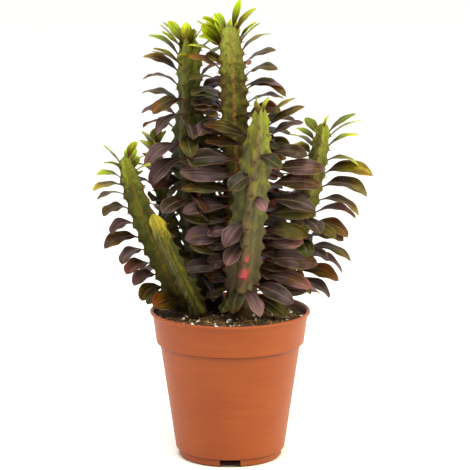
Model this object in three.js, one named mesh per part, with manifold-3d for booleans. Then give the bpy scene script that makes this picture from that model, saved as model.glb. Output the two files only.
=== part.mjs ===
// A potted milk tree: seven three-ribbed stems with leaves and thorns, in soil, in a plastic nursery pot.
// Millimetres, +Z up. The origin is the centre of the pot's base, on the table, and the front faces -Y.
import * as THREE from 'three';
import Module from 'manifold-3d';

const wasm = await Module();
wasm.setup();

const DEGREE = Math.PI / 180;
const UP = new THREE.Vector3(0, 0, 1);
const RIBS = 3;
const RIB_TURN = 360 / RIBS;

// Pot
const POT_SIDES = 32;
const POT_HEIGHT = 158.6;
const LIP_RADIUS = 85;
const LIP_BOTTOM = 156;
const WALL = 1.6;
const FOOT_HEIGHT = 8.6;
const FOOT_RADIUS = 52.8;
const FOOT_SIDE = { radius: 55.3, z: 2.6 };
const STEP_RADIUS = 55.7;
const STEP_TOP = 8.2;
const BODY_BOTTOM = { radius: 57.9, z: 9.2 };
const BODY_TOP = { radius: 74.4, z: 122 };
const COLLAR_BOTTOM = { radius: 78.2, z: 124 };
const COLLAR_TOP = { radius: 82.2, z: 154.6 };
const WELL_RADIUS = 34;
const WELL_SLOPE = 2;
const CHANNEL_RADIUS = 53.4;
const NOTCH_COUNT = 4;
const NOTCH_WIDTH = 21;
const DRAIN_RADIUS = 4;
const DRAIN_SIDES = 8;

// Soil
const GAP = 0.3;
const SOIL_LEVEL = 152.4;
const SOIL_RINGS = [18, 36, 52, 66];
const SOIL_RELIEF = 1;
const SOIL_SWELLS = { across: 0.21, deep: 0.17, slantX: 0.43, slantY: -0.37 };

// Stems
const BURIED_BOTTOM = 127;
const STEM_START = 154;
const RIB_PHASE = [0, 1 / 3, -1 / 3];
const CREST_SWELL = 0.09;
const GROOVE_ANGLE = 42;
const ROUND_ANGLE = 40;
const GROOVE_DEPTH = 0.47;
const NECK_SHARE = 0.2;
const WAIST_DEPTH = 0.4;
const WAIST_POWER = 10;
const TIP_LENGTH = 6;
const ROWS_PER_NODE = 2;

// Leaves: stations from root to tip, and the share of the full width at each
const LEAF_STATIONS = [0, 0.12, 0.38, 0.72];
const LEAF_WIDTHS = [0.11, 0.14, 0.88, 0.94];
const LEAF_LENGTH = 49;
const LEAF_WIDTH = 19.5;
const LEAF_THICKNESS = 1.3;
const LEAF_ROOT_DEPTH = 3.5;
const LEAF_FOLD = 14 * DEGREE;
const CROWN_START = 0.72;
const CROWN_LIFT = 64;
const CROWN_REST = 34;
const CROWN_LENGTH = 0.84;
const CROWN_WIDTH = 0.62;
const LEAF_SCATTER = { turn: 15, lift: 8, rest: 14, roll: 18, length: 0.18, width: 0.14 };
const ROLL_REACH = 0.4;
const STRAY_REACH = 0.4;
const CROWN_NODES = [0, 0.5, 1, 1.5];

// Room that a leaf keeps to other stems and their leaves
const LEAF_CLEARANCE = 5.5;
const STEM_CLEARANCE = 2;
const SOIL_CLEARANCE = 4;
const BODY_STEP = 0.02;
const SAMPLE_STATIONS = [0.28, 0.4, 0.52, 0.64, 0.76, 0.88, 1];

// What a leaf in another's way tries in turn: its turn sideways, its lift and its share of the length
const DODGES = [
  [0, 0, 1], [14, 0, 1], [-14, 0, 1], [0, 16, 1], [0, -16, 1], [24, 10, 0.9], [-24, 10, 0.9],
  [0, 0, 0.75], [30, 0, 0.75], [-30, 0, 0.75], [0, 28, 0.75], [50, 0, 0.6], [-50, 0, 0.6], [0, 40, 0.6],
];

// Seeds of each leaf's own draws
const STEM_SEED = 1009;
const RIB_SEED = 211;
const NODE_SEED = 18;

// Thorns
const THORN_LENGTH = 5;
const THORN_RADIUS = 0.9;
const THORN_SINK = 1.6;
const THORN_SPREAD = 35 * DEGREE;
const THORN_LIFT = 0.25;
const THORN_STRIDE = 2;
const THORN_DROP = 0.18;

// Each stem: its main colour, the four control points of its curve, the spacing of its leaf nodes, its first
// rib's azimuth, its radius at the soil, each season's growth as the share of the length where it ends and its
// rib radius, and how the top tapers as a share and a power. Each rib: from and to bound its leaves along the
// stem, lift and rest are a leaf's slope at root and tip in degrees, roll turns its face, turn swings it
// sideways, length is a share of the usual length, and bare is the share of leaves that have dropped. Each
// stray is one leaf of its own, at a share of the stem's length and an angle round it, with sizes in
// millimetres.
const STEMS = [
  {
    name: 'stem_front',
    color: 0x5f5a38,
    curve: [[11, -10, 154], [12, -34, 232], [25, -37, 300], [32, -28, 376]],
    spacing: 18,
    azimuth: -92,
    neck: 13,
    seasons: [[1, 21]],
    taper: [0.68, 5],
    ribs: [
      { from: 1, to: 0, lift: 12, rest: -75, roll: 25, turn: 10, length: 0.7, bare: 0 },
      { from: 0.1, to: 0.97, lift: 16, rest: -24, roll: 62, turn: -12, length: 1.14, bare: 0 },
      { from: 0.1, to: 0.86, lift: 14, rest: -16, roll: -62, turn: 10, length: 1.14, bare: 0 },
    ],
    strays: [
      { along: 0.17, angle: -95, heading: -120, lift: -40, rest: -72, roll: 0, length: 34, width: 21 },
      { along: 0.16, angle: -85, heading: -55, lift: -42, rest: -72, roll: 0, length: 42, width: 19 },
      { along: 0.1, angle: -150, heading: -128, lift: -10, rest: -50, roll: 0, length: 28, width: 17 },
      { along: 0.15, angle: 10, heading: -25, lift: 0, rest: -35, roll: 45, length: 54, width: 20 },
      { along: 0.1, angle: 20, heading: -20, lift: -10, rest: -40, roll: 40, length: 50, width: 20 },
      { along: 0.39, angle: -88, heading: -150, lift: -30, rest: -64, roll: -35, length: 36, width: 19 },
      { along: 0.49, angle: -85, heading: -155, lift: -30, rest: -60, roll: -35, length: 40, width: 21 },
      { along: 0.6, angle: -95, heading: -40, lift: -15, rest: -60, roll: 25, length: 25, width: 14 },
      { along: 0.7, angle: -72, heading: -160, lift: -5, rest: -50, roll: -40, length: 34, width: 20 },
      { along: 0.79, angle: -100, heading: -20, lift: -5, rest: -45, roll: 40, length: 32, width: 18 },
      { along: 0.21, angle: 30, heading: 40, lift: 0, rest: -50, roll: 40, length: 40, width: 22 },
      { along: 0.13, angle: 180, heading: 168, lift: 0, rest: -40, roll: -40, length: 36, width: 20 },
      { along: 0.99, angle: 200, heading: 185, lift: 70, rest: 95, roll: 0, length: 17, width: 8 },
      { along: 0.97, angle: -120, heading: -130, lift: 60, rest: 85, roll: 0, length: 17, width: 8 },
      { along: 0.985, angle: -50, heading: -40, lift: 70, rest: 60, roll: 0, length: 18, width: 9 },
    ],
  },
  {
    name: 'stem_back_left',
    color: 0x565630,
    curve: [[-20, 33, 154], [-40, 20, 260], [-46, 14, 340], [-44, 20, 444]],
    spacing: 15,
    azimuth: -104,
    neck: 14,
    seasons: [[0.74, 26], [1, 14.5]],
    taper: [0.3, 6],
    ribs: [
      { from: 0.12, to: 0.8, lift: 4, rest: -64, roll: -25, turn: -42, length: 0.9, bare: 0.15 },
      { from: 0.12, to: 1, lift: 34, rest: -30, roll: 20, turn: -10, length: 0.9, bare: 0.1 },
      { from: 0.12, to: 1, lift: 44, rest: -34, roll: -10, turn: 25, length: 1, bare: 0.05 },
    ],
    strays: [
      { along: 0.97, angle: -100, heading: -95, lift: 76, rest: 80, roll: 0, length: 27, width: 13 },
      { along: 0.975, angle: 178, heading: 176, lift: 66, rest: 48, roll: -40, length: 30, width: 15 },
      { along: 0.96, angle: 190, heading: 170, lift: 50, rest: 28, roll: 25, length: 30, width: 16 },
      { along: 0.9, angle: 200, heading: 178, lift: 55, rest: 8, roll: 20, length: 38, width: 14 },
      { along: 0.96, angle: -30, heading: -40, lift: 80, rest: 62, roll: 50, length: 22, width: 11 },
      { along: 0.98, angle: -60, heading: -70, lift: 62, rest: 52, roll: 30, length: 20, width: 12 },
      { along: 0.92, angle: -104, heading: -110, lift: 48, rest: 12, roll: 20, length: 20, width: 11 },
      { along: 0.73, angle: -70, heading: -28, lift: 24, rest: -18, roll: 20, length: 40, width: 14 },
      { along: 0.62, angle: -60, heading: -60, lift: 10, rest: -70, roll: 0, length: 30, width: 17 },
      { along: 0.63, angle: -150, heading: -155, lift: 5, rest: -75, roll: 0, length: 32, width: 15 },
      { along: 0.55, angle: -150, heading: -140, lift: 0, rest: -75, roll: 0, length: 30, width: 14 },
      { along: 0.48, angle: -160, heading: -165, lift: 20, rest: -40, roll: -40, length: 36, width: 22 },
      { along: 0.4, angle: -140, heading: -150, lift: 0, rest: -72, roll: 0, length: 40, width: 19 },
      { along: 0.3, angle: -140, heading: -150, lift: 0, rest: -70, roll: 0, length: 40, width: 18 },
      { along: 0.22, angle: -130, heading: -140, lift: 0, rest: -70, roll: 0, length: 38, width: 18 },
    ],
  },
  {
    name: 'stem_tall',
    color: 0x6a6c30,
    curve: [[8, 28, 154], [6, 12, 260], [8, 12, 360], [-1, 5, 456]],
    spacing: 14,
    azimuth: -30,
    neck: 12,
    seasons: [[1, 16.5]],
    taper: [0.35, 8],
    ribs: [
      { from: 0.15, to: 1, lift: 48, rest: -28, roll: 20, turn: 14, length: 0.98, bare: 0 },
      { from: 0.2, to: 0.96, lift: 36, rest: -36, roll: 0, turn: 0, length: 1, bare: 0.5 },
      { from: 0.1, to: 1, lift: 44, rest: -28, roll: -20, turn: -10, length: 0.9, bare: 0 },
    ],
    strays: [
      { along: 0.99, angle: 30, heading: 40, lift: 84, rest: 62, roll: 60, length: 33, width: 8 },
      { along: 0.92, angle: 205, heading: 186, lift: 54, rest: 36, roll: -60, length: 38, width: 20 },
      { along: 0.95, angle: 215, heading: 202, lift: 72, rest: 60, roll: -50, length: 34, width: 17 },
      { along: 0.97, angle: 170, heading: 180, lift: 76, rest: 70, roll: -50, length: 26, width: 10 },
      { along: 0.86, angle: 205, heading: 200, lift: 48, rest: 14, roll: -40, length: 28, width: 15 },
      { along: 0.54, angle: -40, heading: -38, lift: 30, rest: -34, roll: 45, length: 50, width: 20 },
      { along: 0.68, angle: -100, heading: -20, lift: 20, rest: -20, roll: 20, length: 40, width: 16 },
      { along: 0.77, angle: -30, heading: -12, lift: 48, rest: -58, roll: 20, length: 58, width: 18 },
    ],
  },
  {
    name: 'stem_right',
    color: 0x5a4a34,
    curve: [[44, 26, 154], [64, 17, 212], [88, 12, 280], [98, 8, 354]],
    spacing: 14,
    azimuth: -95,
    neck: 10,
    seasons: [[1, 13.5]],
    taper: [0.5, 6],
    ribs: [
      { from: 0.2, to: 0.8, lift: 4, rest: -70, roll: 10, turn: 30, length: 0.75, bare: 0.2 },
      { from: 0.05, to: 0.97, lift: 34, rest: -56, roll: 25, turn: -20, length: 1.05, bare: 0 },
      { from: 0.1, to: 1, lift: 24, rest: -36, roll: 0, turn: -20, length: 0.84, bare: 0.1 },
    ],
    strays: [
      { along: 0.98, angle: -90, heading: -60, lift: 66, rest: 50, roll: 30, length: 20, width: 9 },
      { along: 0.93, angle: -90, heading: -130, lift: 60, rest: 30, roll: -30, length: 18, width: 10 },
      { along: 0.5, angle: -60, heading: -35, lift: 20, rest: -50, roll: 20, length: 44, width: 17 },
      { along: 0.36, angle: -60, heading: -40, lift: 10, rest: -62, roll: 20, length: 44, width: 17 },
      { along: 0.2, angle: -60, heading: -50, lift: 0, rest: -60, roll: 10, length: 46, width: 18 },
    ],
  },
  {
    name: 'stem_left',
    color: 0x6b6a2c,
    curve: [[-46, 16, 154], [-64, -8, 200], [-94, -22, 262], [-109, -20, 323]],
    spacing: 15,
    azimuth: -36,
    neck: 10,
    seasons: [[1, 14.5]],
    taper: [0.5, 6],
    ribs: [
      { from: 0.9, to: 1, lift: 20, rest: -30, roll: 0, turn: 0, length: 0.6, bare: 0 },
      { from: 0.1, to: 1, lift: 26, rest: -46, roll: 0, turn: 10, length: 0.78, bare: 0.1 },
      { from: 0.05, to: 1, lift: 34, rest: -58, roll: -20, turn: 10, length: 0.8, bare: 0 },
    ],
    strays: [
      { along: 0.12, angle: 200, heading: 228, lift: 0, rest: -70, roll: 0, length: 40, width: 20 },
      { along: 0.12, angle: -60, heading: -132, lift: -8, rest: -28, roll: -50, length: 46, width: 25 },
    ],
  },
  {
    name: 'stem_small',
    color: 0x5c6a2a,
    curve: [[-47, 43, 154], [-58, 44, 215], [-73, 40, 275], [-81, 36, 331]],
    spacing: 15,
    azimuth: -30,
    neck: 7,
    seasons: [[1, 10]],
    taper: [0.5, 6],
    ribs: [
      { from: 0.3, to: 1, lift: 30, rest: -20, roll: 0, turn: 0, length: 0.6, bare: 0.3 },
      { from: 0.2, to: 1, lift: 30, rest: -36, roll: 0, turn: 0, length: 0.8, bare: 0.1 },
      { from: 0.2, to: 1, lift: 34, rest: -30, roll: -10, turn: 20, length: 0.85, bare: 0 },
    ],
    strays: [],
  },
  {
    name: 'stem_pup',
    color: 0x9a9c38,
    curve: [[-32, -10, 154], [-44, -36, 185], [-60, -43, 220], [-79, -42, 266]],
    spacing: 15,
    azimuth: -90,
    neck: 8,
    seasons: [[0.46, 11.4], [1, 9.8]],
    taper: [0.35, 8],
    ribs: [],
    strays: [],
  },
];

/** A repeatable run of numbers from -1 to 1. */
function draws(seed) {
  let state = seed;
  const next = () => {
    state = (state * 48271) % 2147483647;
    return (2 * state) / 2147483647 - 1;
  };
  next();
  next();
  return next;
}

/** The share from 0 to 1 of value between low and high, eased at both ends. */
function ease(value, low, high) {
  return THREE.MathUtils.smoothstep(value, low, high);
}

/** The value at a share of the way from one value to another. */
function mix(start, end, share) {
  return start + (end - start) * share;
}

/** A level direction at an azimuth in degrees. */
function level(azimuth) {
  return new THREE.Vector3(Math.cos(azimuth * DEGREE), Math.sin(azimuth * DEGREE), 0);
}

/**
 * A closed skin over rings of equally many points. The first ring is closed flat. The last is one point.
 * A strip listed in crossed is split along its other diagonal.
 */
function skin(rings, tip, crossed = []) {
  const count = rings[0].length;
  const points = [...rings.flat(), tip];
  const faces = [];
  for (let i = 2; i < count; i += 1) {
    faces.push([0, i, i - 1]);
  }
  for (let row = 0; row + 1 < rings.length; row += 1) {
    for (let k = 0; k < count; k += 1) {
      const a = row * count + k;
      const b = row * count + ((k + 1) % count);
      if (crossed.includes(k)) {
        faces.push([a, b, a + count], [b, b + count, a + count]);
      } else {
        faces.push([a, b, b + count], [a, b + count, a + count]);
      }
    }
  }
  const last = (rings.length - 1) * count;
  for (let k = 0; k < count; k += 1) {
    faces.push([last + k, last + ((k + 1) % count), points.length - 1]);
  }
  return toSolid(points, faces);
}

/** The solid inside a closed skin of points and faces. */
function toSolid(points, faces) {
  const vertProperties = new Float32Array(points.flatMap((point) => point.toArray()));
  const triVerts = new Uint32Array(faces.flat());
  return new wasm.Manifold(new wasm.Mesh({ numProp: 3, vertProperties, triVerts }));
}

/** A named mesh of the largest single body in a solid. */
function toMesh(name, solid, look) {
  const bodies = solid.decompose();
  bodies.sort((first, second) => second.volume() - first.volume());
  const mesh = bodies[0].getMesh();
  const geometry = new THREE.BufferGeometry();
  geometry.setAttribute('position', new THREE.BufferAttribute(mesh.vertProperties, 3));
  geometry.setIndex(new THREE.BufferAttribute(mesh.triVerts, 1));
  geometry.computeVertexNormals();
  const result = new THREE.Mesh(geometry, new THREE.MeshStandardMaterial(look));
  result.name = name;
  return result;
}

/** The solid turned from a profile of [radius, z] points that starts and ends on the axis. */
function turned(profile, sides) {
  const onAxis = (point) => point[0] === 0;
  const points = [];
  const starts = profile.map((entry) => {
    const start = points.length;
    const around = onAxis(entry) ? 1 : sides;
    for (let k = 0; k < around; k += 1) {
      const angle = (2 * Math.PI * k) / sides;
      points.push(new THREE.Vector3(entry[0] * Math.cos(angle), entry[0] * Math.sin(angle), entry[1]));
    }
    return start;
  });
  const faces = [];
  for (let i = 0; i + 1 < profile.length; i += 1) {
    for (let k = 0; k < sides; k += 1) {
      const next = (k + 1) % sides;
      const [a, b] = onAxis(profile[i]) ? [starts[i], starts[i]] : [starts[i] + k, starts[i] + next];
      const [c, d] = onAxis(profile[i + 1])
        ? [starts[i + 1], starts[i + 1]]
        : [starts[i + 1] + next, starts[i + 1] + k];
      if (a !== b) {
        faces.push([a, b, c]);
      }
      if (c !== d) {
        faces.push([a, c, d]);
      }
    }
  }
  return toSolid(points, faces);
}

/** The inner wall of the pot, as [radius, z] points from the floor's centre up. */
function innerProfile() {
  const floor = FOOT_HEIGHT + WALL;
  return [
    [0, WALL],
    [WELL_RADIUS - WALL, WALL],
    [WELL_RADIUS + WELL_SLOPE - WALL / 2, floor],
    [STEP_RADIUS - WALL, floor],
    [BODY_BOTTOM.radius - WALL, BODY_BOTTOM.z + WALL],
    [BODY_TOP.radius - WALL, BODY_TOP.z + WALL],
    [COLLAR_BOTTOM.radius - WALL, COLLAR_BOTTOM.z + WALL],
    [COLLAR_TOP.radius - WALL, COLLAR_TOP.z],
  ];
}

/** The pot: a thin shell with a well, a drainage channel, a stepped foot, a collar and a rolled lip. */
function makePot() {
  const outer = [
    [0, 0],
    [WELL_RADIUS, 0],
    [WELL_RADIUS + WELL_SLOPE, FOOT_HEIGHT],
    [CHANNEL_RADIUS, FOOT_HEIGHT],
    [FOOT_RADIUS - WALL, 0],
    [FOOT_RADIUS, 0],
    [FOOT_SIDE.radius, FOOT_SIDE.z],
    [STEP_RADIUS, STEP_TOP],
    [BODY_BOTTOM.radius, BODY_BOTTOM.z],
    [BODY_TOP.radius, BODY_TOP.z],
    [COLLAR_BOTTOM.radius, COLLAR_BOTTOM.z],
    [COLLAR_TOP.radius, COLLAR_TOP.z],
    [LIP_RADIUS, LIP_BOTTOM],
    [LIP_RADIUS, POT_HEIGHT - WALL],
    [LIP_RADIUS - WALL, POT_HEIGHT],
    [COLLAR_TOP.radius - WALL / 2, POT_HEIGHT - WALL / 2],
  ];
  let pot = turned([...outer, ...innerProfile().reverse()], POT_SIDES);
  for (let i = 0; i < NOTCH_COUNT; i += 1) {
    const azimuth = (360 / NOTCH_COUNT) * i;
    pot = pot.subtract(notch(azimuth)).subtract(drain(azimuth));
  }
  return toMesh('pot', pot, { color: 0xc4683f, roughness: 0.5, metalness: 0 });
}

/** A block that cuts one drainage notch through the foot ring, as high as the foot. */
function notch(azimuth) {
  const along = level(azimuth);
  const across = level(azimuth + 90);
  const [near, far] = [FOOT_RADIUS - 2 * WALL, STEP_RADIUS + WALL];
  const corner = (out, side, z) =>
    along.clone().multiplyScalar(out).addScaledVector(across, (side * NOTCH_WIDTH) / 2).setZ(z);
  const ring = (z) => [corner(near, -1, z), corner(far, -1, z), corner(far, 1, z), corner(near, 1, z)];
  const top = FOOT_HEIGHT - 2 * GAP;
  return prism(ring(-WALL), ring(top));
}

/** A round hole through the channel's floor. */
function drain(azimuth) {
  const centre = level(azimuth).multiplyScalar((WELL_RADIUS + CHANNEL_RADIUS) / 2 + WALL);
  const ring = (z) => roundRing(centre.clone().setZ(z), DRAIN_RADIUS, DRAIN_SIDES, 0);
  return prism(ring(FOOT_HEIGHT - WALL), ring(FOOT_HEIGHT + 2 * WALL));
}

/** A closed prism between two rings of equally many points. */
function prism(lower, upper) {
  const count = lower.length;
  const faces = [];
  for (let k = 0; k < count; k += 1) {
    const next = (k + 1) % count;
    faces.push([k, next, next + count], [k, next + count, k + count]);
    if (k > 1) {
      faces.push([0, k, k - 1], [count, count + k - 1, count + k]);
    }
  }
  return toSolid([...lower, ...upper], faces);
}

/** Points on a level circle round a centre, turned by an angle in degrees. */
function roundRing(centre, radius, count, turn) {
  return Array.from({ length: count }, (_, k) =>
    level(turn + (360 * k) / count).multiplyScalar(radius).add(centre),
  );
}

/** The soil: it fills the pot with an even gap, under an uneven top with a hole for each stem. */
function makeSoil() {
  const wall = innerProfile().map(([radius, z], i) => (i === 0 ? [0, z + GAP] : [radius - GAP, z + GAP]));
  const [, below] = wall[wall.length - 2];
  const top = wall[wall.length - 1];
  const slope = (top[0] - wall[wall.length - 2][0]) / (top[1] - below);
  wall[wall.length - 1] = [top[0] - slope * (top[1] - SOIL_LEVEL), SOIL_LEVEL];
  const rings = [...SOIL_RINGS].reverse().map((radius) => [radius, SOIL_LEVEL]);
  const solid = turned([...wall, ...rings, [0, SOIL_LEVEL]], POT_SIDES);
  let soil = solid.warp((point) => {
    const reach = Math.hypot(point[0], point[1]);
    if (point[2] > SOIL_LEVEL - GAP && reach < SOIL_RINGS[SOIL_RINGS.length - 1] + 1) {
      const broad = Math.sin(point[0] * SOIL_SWELLS.across + 1) * Math.cos(point[1] * SOIL_SWELLS.deep);
      const fine = Math.sin(point[0] * SOIL_SWELLS.slantX + point[1] * SOIL_SWELLS.slantY);
      point[2] += SOIL_RELIEF * (broad + fine / 2);
    }
  });
  for (const stem of STEMS) {
    const hole = (z) => roundRing(stemFoot(stem).setZ(z), stem.neck + GAP, RIBS * 3, stem.azimuth);
    soil = soil.subtract(prism(hole(BURIED_BOTTOM - GAP), hole(STEM_START + GAP)));
  }
  return toMesh('soil', soil, { color: 0x2e211a, roughness: 0.95, metalness: 0 });
}

/** The centre of a stem where it leaves the soil. */
function stemFoot(stem) {
  return new THREE.Vector3(...stem.curve[0]);
}

/** A stem's curve, and the number of leaf nodes along it. */
function stemLine(stem) {
  const corners = stem.curve.map((corner) => new THREE.Vector3(...corner));
  const line = new THREE.CubicBezierCurve3(...corners);
  const around = corners.slice(1).reduce((sum, corner, i) => sum + corner.distanceTo(corners[i]), 0);
  const length = (around + corners[0].distanceTo(corners[3])) / 2;
  return { line, count: Math.round(length / stem.spacing) };
}

/** The rib radius of a stem at a share of its length. */
function ribRadius(stem, share) {
  const last = stem.seasons.length - 1;
  const index = Math.max(0, stem.seasons.findIndex(([end]) => share <= end));
  const start = index === 0 ? 0 : stem.seasons[index - 1][0];
  const [end, radius] = stem.seasons[index];
  const within = (share - start) / (end - start);
  const [amount, power] = index === last ? stem.taper : [WAIST_DEPTH, WAIST_POWER];
  const full = radius * (1 - amount * within ** power);
  const from = index === 0 ? stem.neck : stem.seasons[index - 1][1] * (1 - WAIST_DEPTH);
  const rise = index === 0 ? NECK_SHARE : NECK_SHARE / (end - start) / 2;
  return mix(Math.min(from, full), full, ease(within, 0, rise));
}

/** A point on a stem's skin: angle in degrees round it, and reach as a share of the rib radius. */
function stemPoint(stem, line, share, angle, reach) {
  const tangent = line.getTangent(share);
  const side = new THREE.Vector3(1, 0, 0).addScaledVector(tangent, -tangent.x).normalize();
  const depth = tangent.clone().cross(side);
  const radius = ribRadius(stem, share) * reach;
  return line
    .getPoint(share)
    .addScaledVector(side, radius * Math.cos(angle * DEGREE))
    .addScaledVector(depth, radius * Math.sin(angle * DEGREE));
}

/** How far a rib's crest stands out at a share of the length: most at each node. */
function crestReach(count, rib, share) {
  return 1 + CREST_SWELL * Math.cos(2 * Math.PI * (count * share - RIB_PHASE[rib]));
}

/** The bare stem: nine points a ring, which are a crest and the two sides of a groove for each rib. */
function makeStemBody(stem) {
  const { line, count } = stemLine(stem);
  const rows = ROWS_PER_NODE * count;
  const foot = stemFoot(stem);
  const rings = [roundRing(foot.clone().setZ(BURIED_BOTTOM), stem.neck, RIBS * 3, stem.azimuth)];
  rings.push(roundRing(foot, stem.neck, RIBS * 3, stem.azimuth));
  for (let row = 1; row < rows; row += 1) {
    const plain = row / rows;
    const open = ease(plain, 0, NECK_SHARE);
    const groove = mix(1, GROOVE_DEPTH, open);
    const ring = [];
    for (let rib = 0; rib < RIBS; rib += 1) {
      const angle = stem.azimuth + rib * RIB_TURN;
      const held = row === 1 || row === rows - 1;
      const share = held ? plain : plain + RIB_PHASE[rib] / count;
      const spread = mix(ROUND_ANGLE, GROOVE_ANGLE, open);
      ring.push(stemPoint(stem, line, share, angle, crestReach(count, rib, share)));
      ring.push(stemPoint(stem, line, plain, angle + spread, groove));
      ring.push(stemPoint(stem, line, plain, angle + RIB_TURN - spread, groove));
    }
    rings.push(ring);
  }
  const tip = line.getPoint(1).addScaledVector(line.getTangent(1), TIP_LENGTH / 2);
  return skin(rings, tip);
}

/** One leaf's place, slopes and size, worked out from its rib's settings and its own seeded draws. */
function planLeaf(stem, stemIndex, rib, node, dodge) {
  const { line, count } = stemLine(stem);
  const [turn, lift, share] = dodge;
  const settings = stem.ribs[rib];
  const draw = draws(1 + stemIndex * STEM_SEED + rib * RIB_SEED + node * NODE_SEED);
  const along = (node + RIB_PHASE[rib]) / count;
  if (along < settings.from || along > Math.min(settings.to, 1) || draw() / 2 + 0.5 < settings.bare) {
    return null;
  }
  const crown = ease(along, CROWN_START, 1);
  const reach = crestReach(count, rib, along);
  const angle = stem.azimuth + rib * RIB_TURN;
  const crest = stemPoint(stem, line, along, angle, reach);
  const centre = line.getPoint(along);
  const outward = crest.clone().sub(centre).normalize();
  const azimuth = Math.atan2(outward.y, outward.x) / DEGREE;
  const scatter = (amount) => amount * draw();
  const [heading, size] = [azimuth + settings.turn + turn, settings.length * share];
  return {
    root: crest.addScaledVector(outward, -LEAF_ROOT_DEPTH),
    heading: heading + scatter(LEAF_SCATTER.turn),
    lift: mix(settings.lift, CROWN_LIFT, crown * crown) + scatter(LEAF_SCATTER.lift) + lift,
    rest: mix(settings.rest, CROWN_REST, crown * crown) + scatter(LEAF_SCATTER.rest) + lift,
    roll: mix(settings.roll, 0, crown) + scatter(LEAF_SCATTER.roll),
    length: LEAF_LENGTH * size * mix(1, CROWN_LENGTH, crown) * (1 + scatter(LEAF_SCATTER.length)),
    width: LEAF_WIDTH * mix(1, CROWN_WIDTH, crown) * (1 + scatter(LEAF_SCATTER.width)) * Math.sqrt(share),
  };
}

/** A stray leaf's place, slopes and size. */
function planStray(stem, stray, dodge) {
  const [turn, lift, share] = dodge;
  const { line } = stemLine(stem);
  return {
    root: stemPoint(stem, line, stray.along, stray.angle, STRAY_REACH),
    heading: stray.heading + turn,
    lift: stray.lift + lift,
    rest: stray.rest + lift,
    roll: stray.roll,
    length: stray.length * share,
    width: stray.width * Math.sqrt(share),
  };
}

/** A leaf's midrib point, side and face directions at a share of its length: an arc from lift to rest. */
function leafFrame(leaf, share) {
  const lift = leaf.lift * DEGREE;
  const bend = (leaf.rest - leaf.lift) * DEGREE;
  const slope = lift + bend * share;
  const ahead = level(leaf.heading);
  const left = level(leaf.heading + 90);
  const out = (Math.sin(slope) - Math.sin(lift)) / bend;
  const rise = (Math.cos(lift) - Math.cos(slope)) / bend;
  const point = leaf.root
    .clone()
    .addScaledVector(ahead, leaf.length * out)
    .addScaledVector(UP, leaf.length * rise);
  const face = UP.clone().multiplyScalar(Math.cos(slope)).addScaledVector(ahead, -Math.sin(slope));
  const roll = leaf.roll * DEGREE * ease(share, 0, ROLL_REACH);
  const side = left.clone().multiplyScalar(Math.cos(roll)).addScaledVector(face, Math.sin(roll));
  const normal = face.multiplyScalar(Math.cos(roll)).addScaledVector(left, -Math.sin(roll));
  return { point, side, normal };
}

/** A point of a leaf's edge: reach is -1 or 1, and width is the whole width there. */
function leafEdge(frame, width, reach) {
  const half = width / 2;
  return frame.point
    .clone()
    .addScaledVector(frame.side, reach * half * Math.cos(LEAF_FOLD))
    .addScaledVector(frame.normal, half * Math.sin(LEAF_FOLD));
}

/** The share of a leaf's full width at a share of its length. */
function leafWidth(share) {
  const stations = [...LEAF_STATIONS, 1];
  const widths = [...LEAF_WIDTHS, 0];
  const next = Math.max(1, stations.findIndex((station) => share <= station));
  const within = (share - stations[next - 1]) / (stations[next] - stations[next - 1]);
  return mix(widths[next - 1], widths[next], within);
}

/** The points at which a leaf is tested against what stands near it. */
function leafSamples(leaf) {
  return SAMPLE_STATIONS.flatMap((share) => {
    const frame = leafFrame(leaf, share);
    const width = leaf.width * leafWidth(share);
    return [leafEdge(frame, width, -1), frame.point, leafEdge(frame, width, 1)];
  });
}

/** A leaf's solid: four-sided rings with a raised midrib, split alike on both faces. */
function makeLeaf(leaf) {
  const rings = LEAF_STATIONS.map((share, i) => {
    const frame = leafFrame(leaf, share);
    const width = leaf.width * LEAF_WIDTHS[i];
    const half = LEAF_THICKNESS / 2;
    return [
      leafEdge(frame, width, -1),
      frame.point.clone().addScaledVector(frame.normal, -half),
      leafEdge(frame, width, 1),
      frame.point.clone().addScaledVector(frame.normal, half),
    ];
  });
  return skin(rings, leafFrame(leaf, 1).point, [2, 3]);
}

/** Whether a leaf's sample points stay clear of the soil, the lip, the other stems and their leaves. */
function isClear(samples, stemIndex, bodies, placed) {
  const nearPot = (point) => {
    const reach = Math.hypot(point.x, point.y);
    const floor = reach > COLLAR_BOTTOM.radius ? POT_HEIGHT : SOIL_LEVEL;
    return reach < LIP_RADIUS + SOIL_CLEARANCE && point.z < floor + SOIL_CLEARANCE;
  };
  if (samples.some(nearPot)) {
    return false;
  }
  const hitsBody = (body) =>
    body.index !== stemIndex &&
    samples.some((point) => body.spheres.some(([centre, radius]) => point.distanceTo(centre) < radius));
  if (bodies.some(hitsBody)) {
    return false;
  }
  const hitsLeaf = (other) =>
    other.index !== stemIndex &&
    other.samples[0].distanceTo(samples[0]) < 3 * LEAF_LENGTH &&
    samples.some((point) => other.samples.some((mark) => point.distanceTo(mark) < LEAF_CLEARANCE));
  return !placed.some(hitsLeaf);
}

/** The balls along a stem that other stems' leaves keep clear of. */
function stemSpheres(stem) {
  const { line } = stemLine(stem);
  const spheres = [];
  for (let share = 0; share <= 1; share += BODY_STEP) {
    spheres.push([line.getPoint(share), ribRadius(stem, share) * (1 + CREST_SWELL) + STEM_CLEARANCE]);
  }
  return spheres;
}

/** The nodes of a rib that may carry a leaf, from the top down: closer together in the crown. */
function leafNodes(count) {
  const lower = Array.from({ length: count - 2 }, (_, i) => count - 2 - i);
  return [...CROWN_NODES.map((below) => count - below), ...lower];
}

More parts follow.
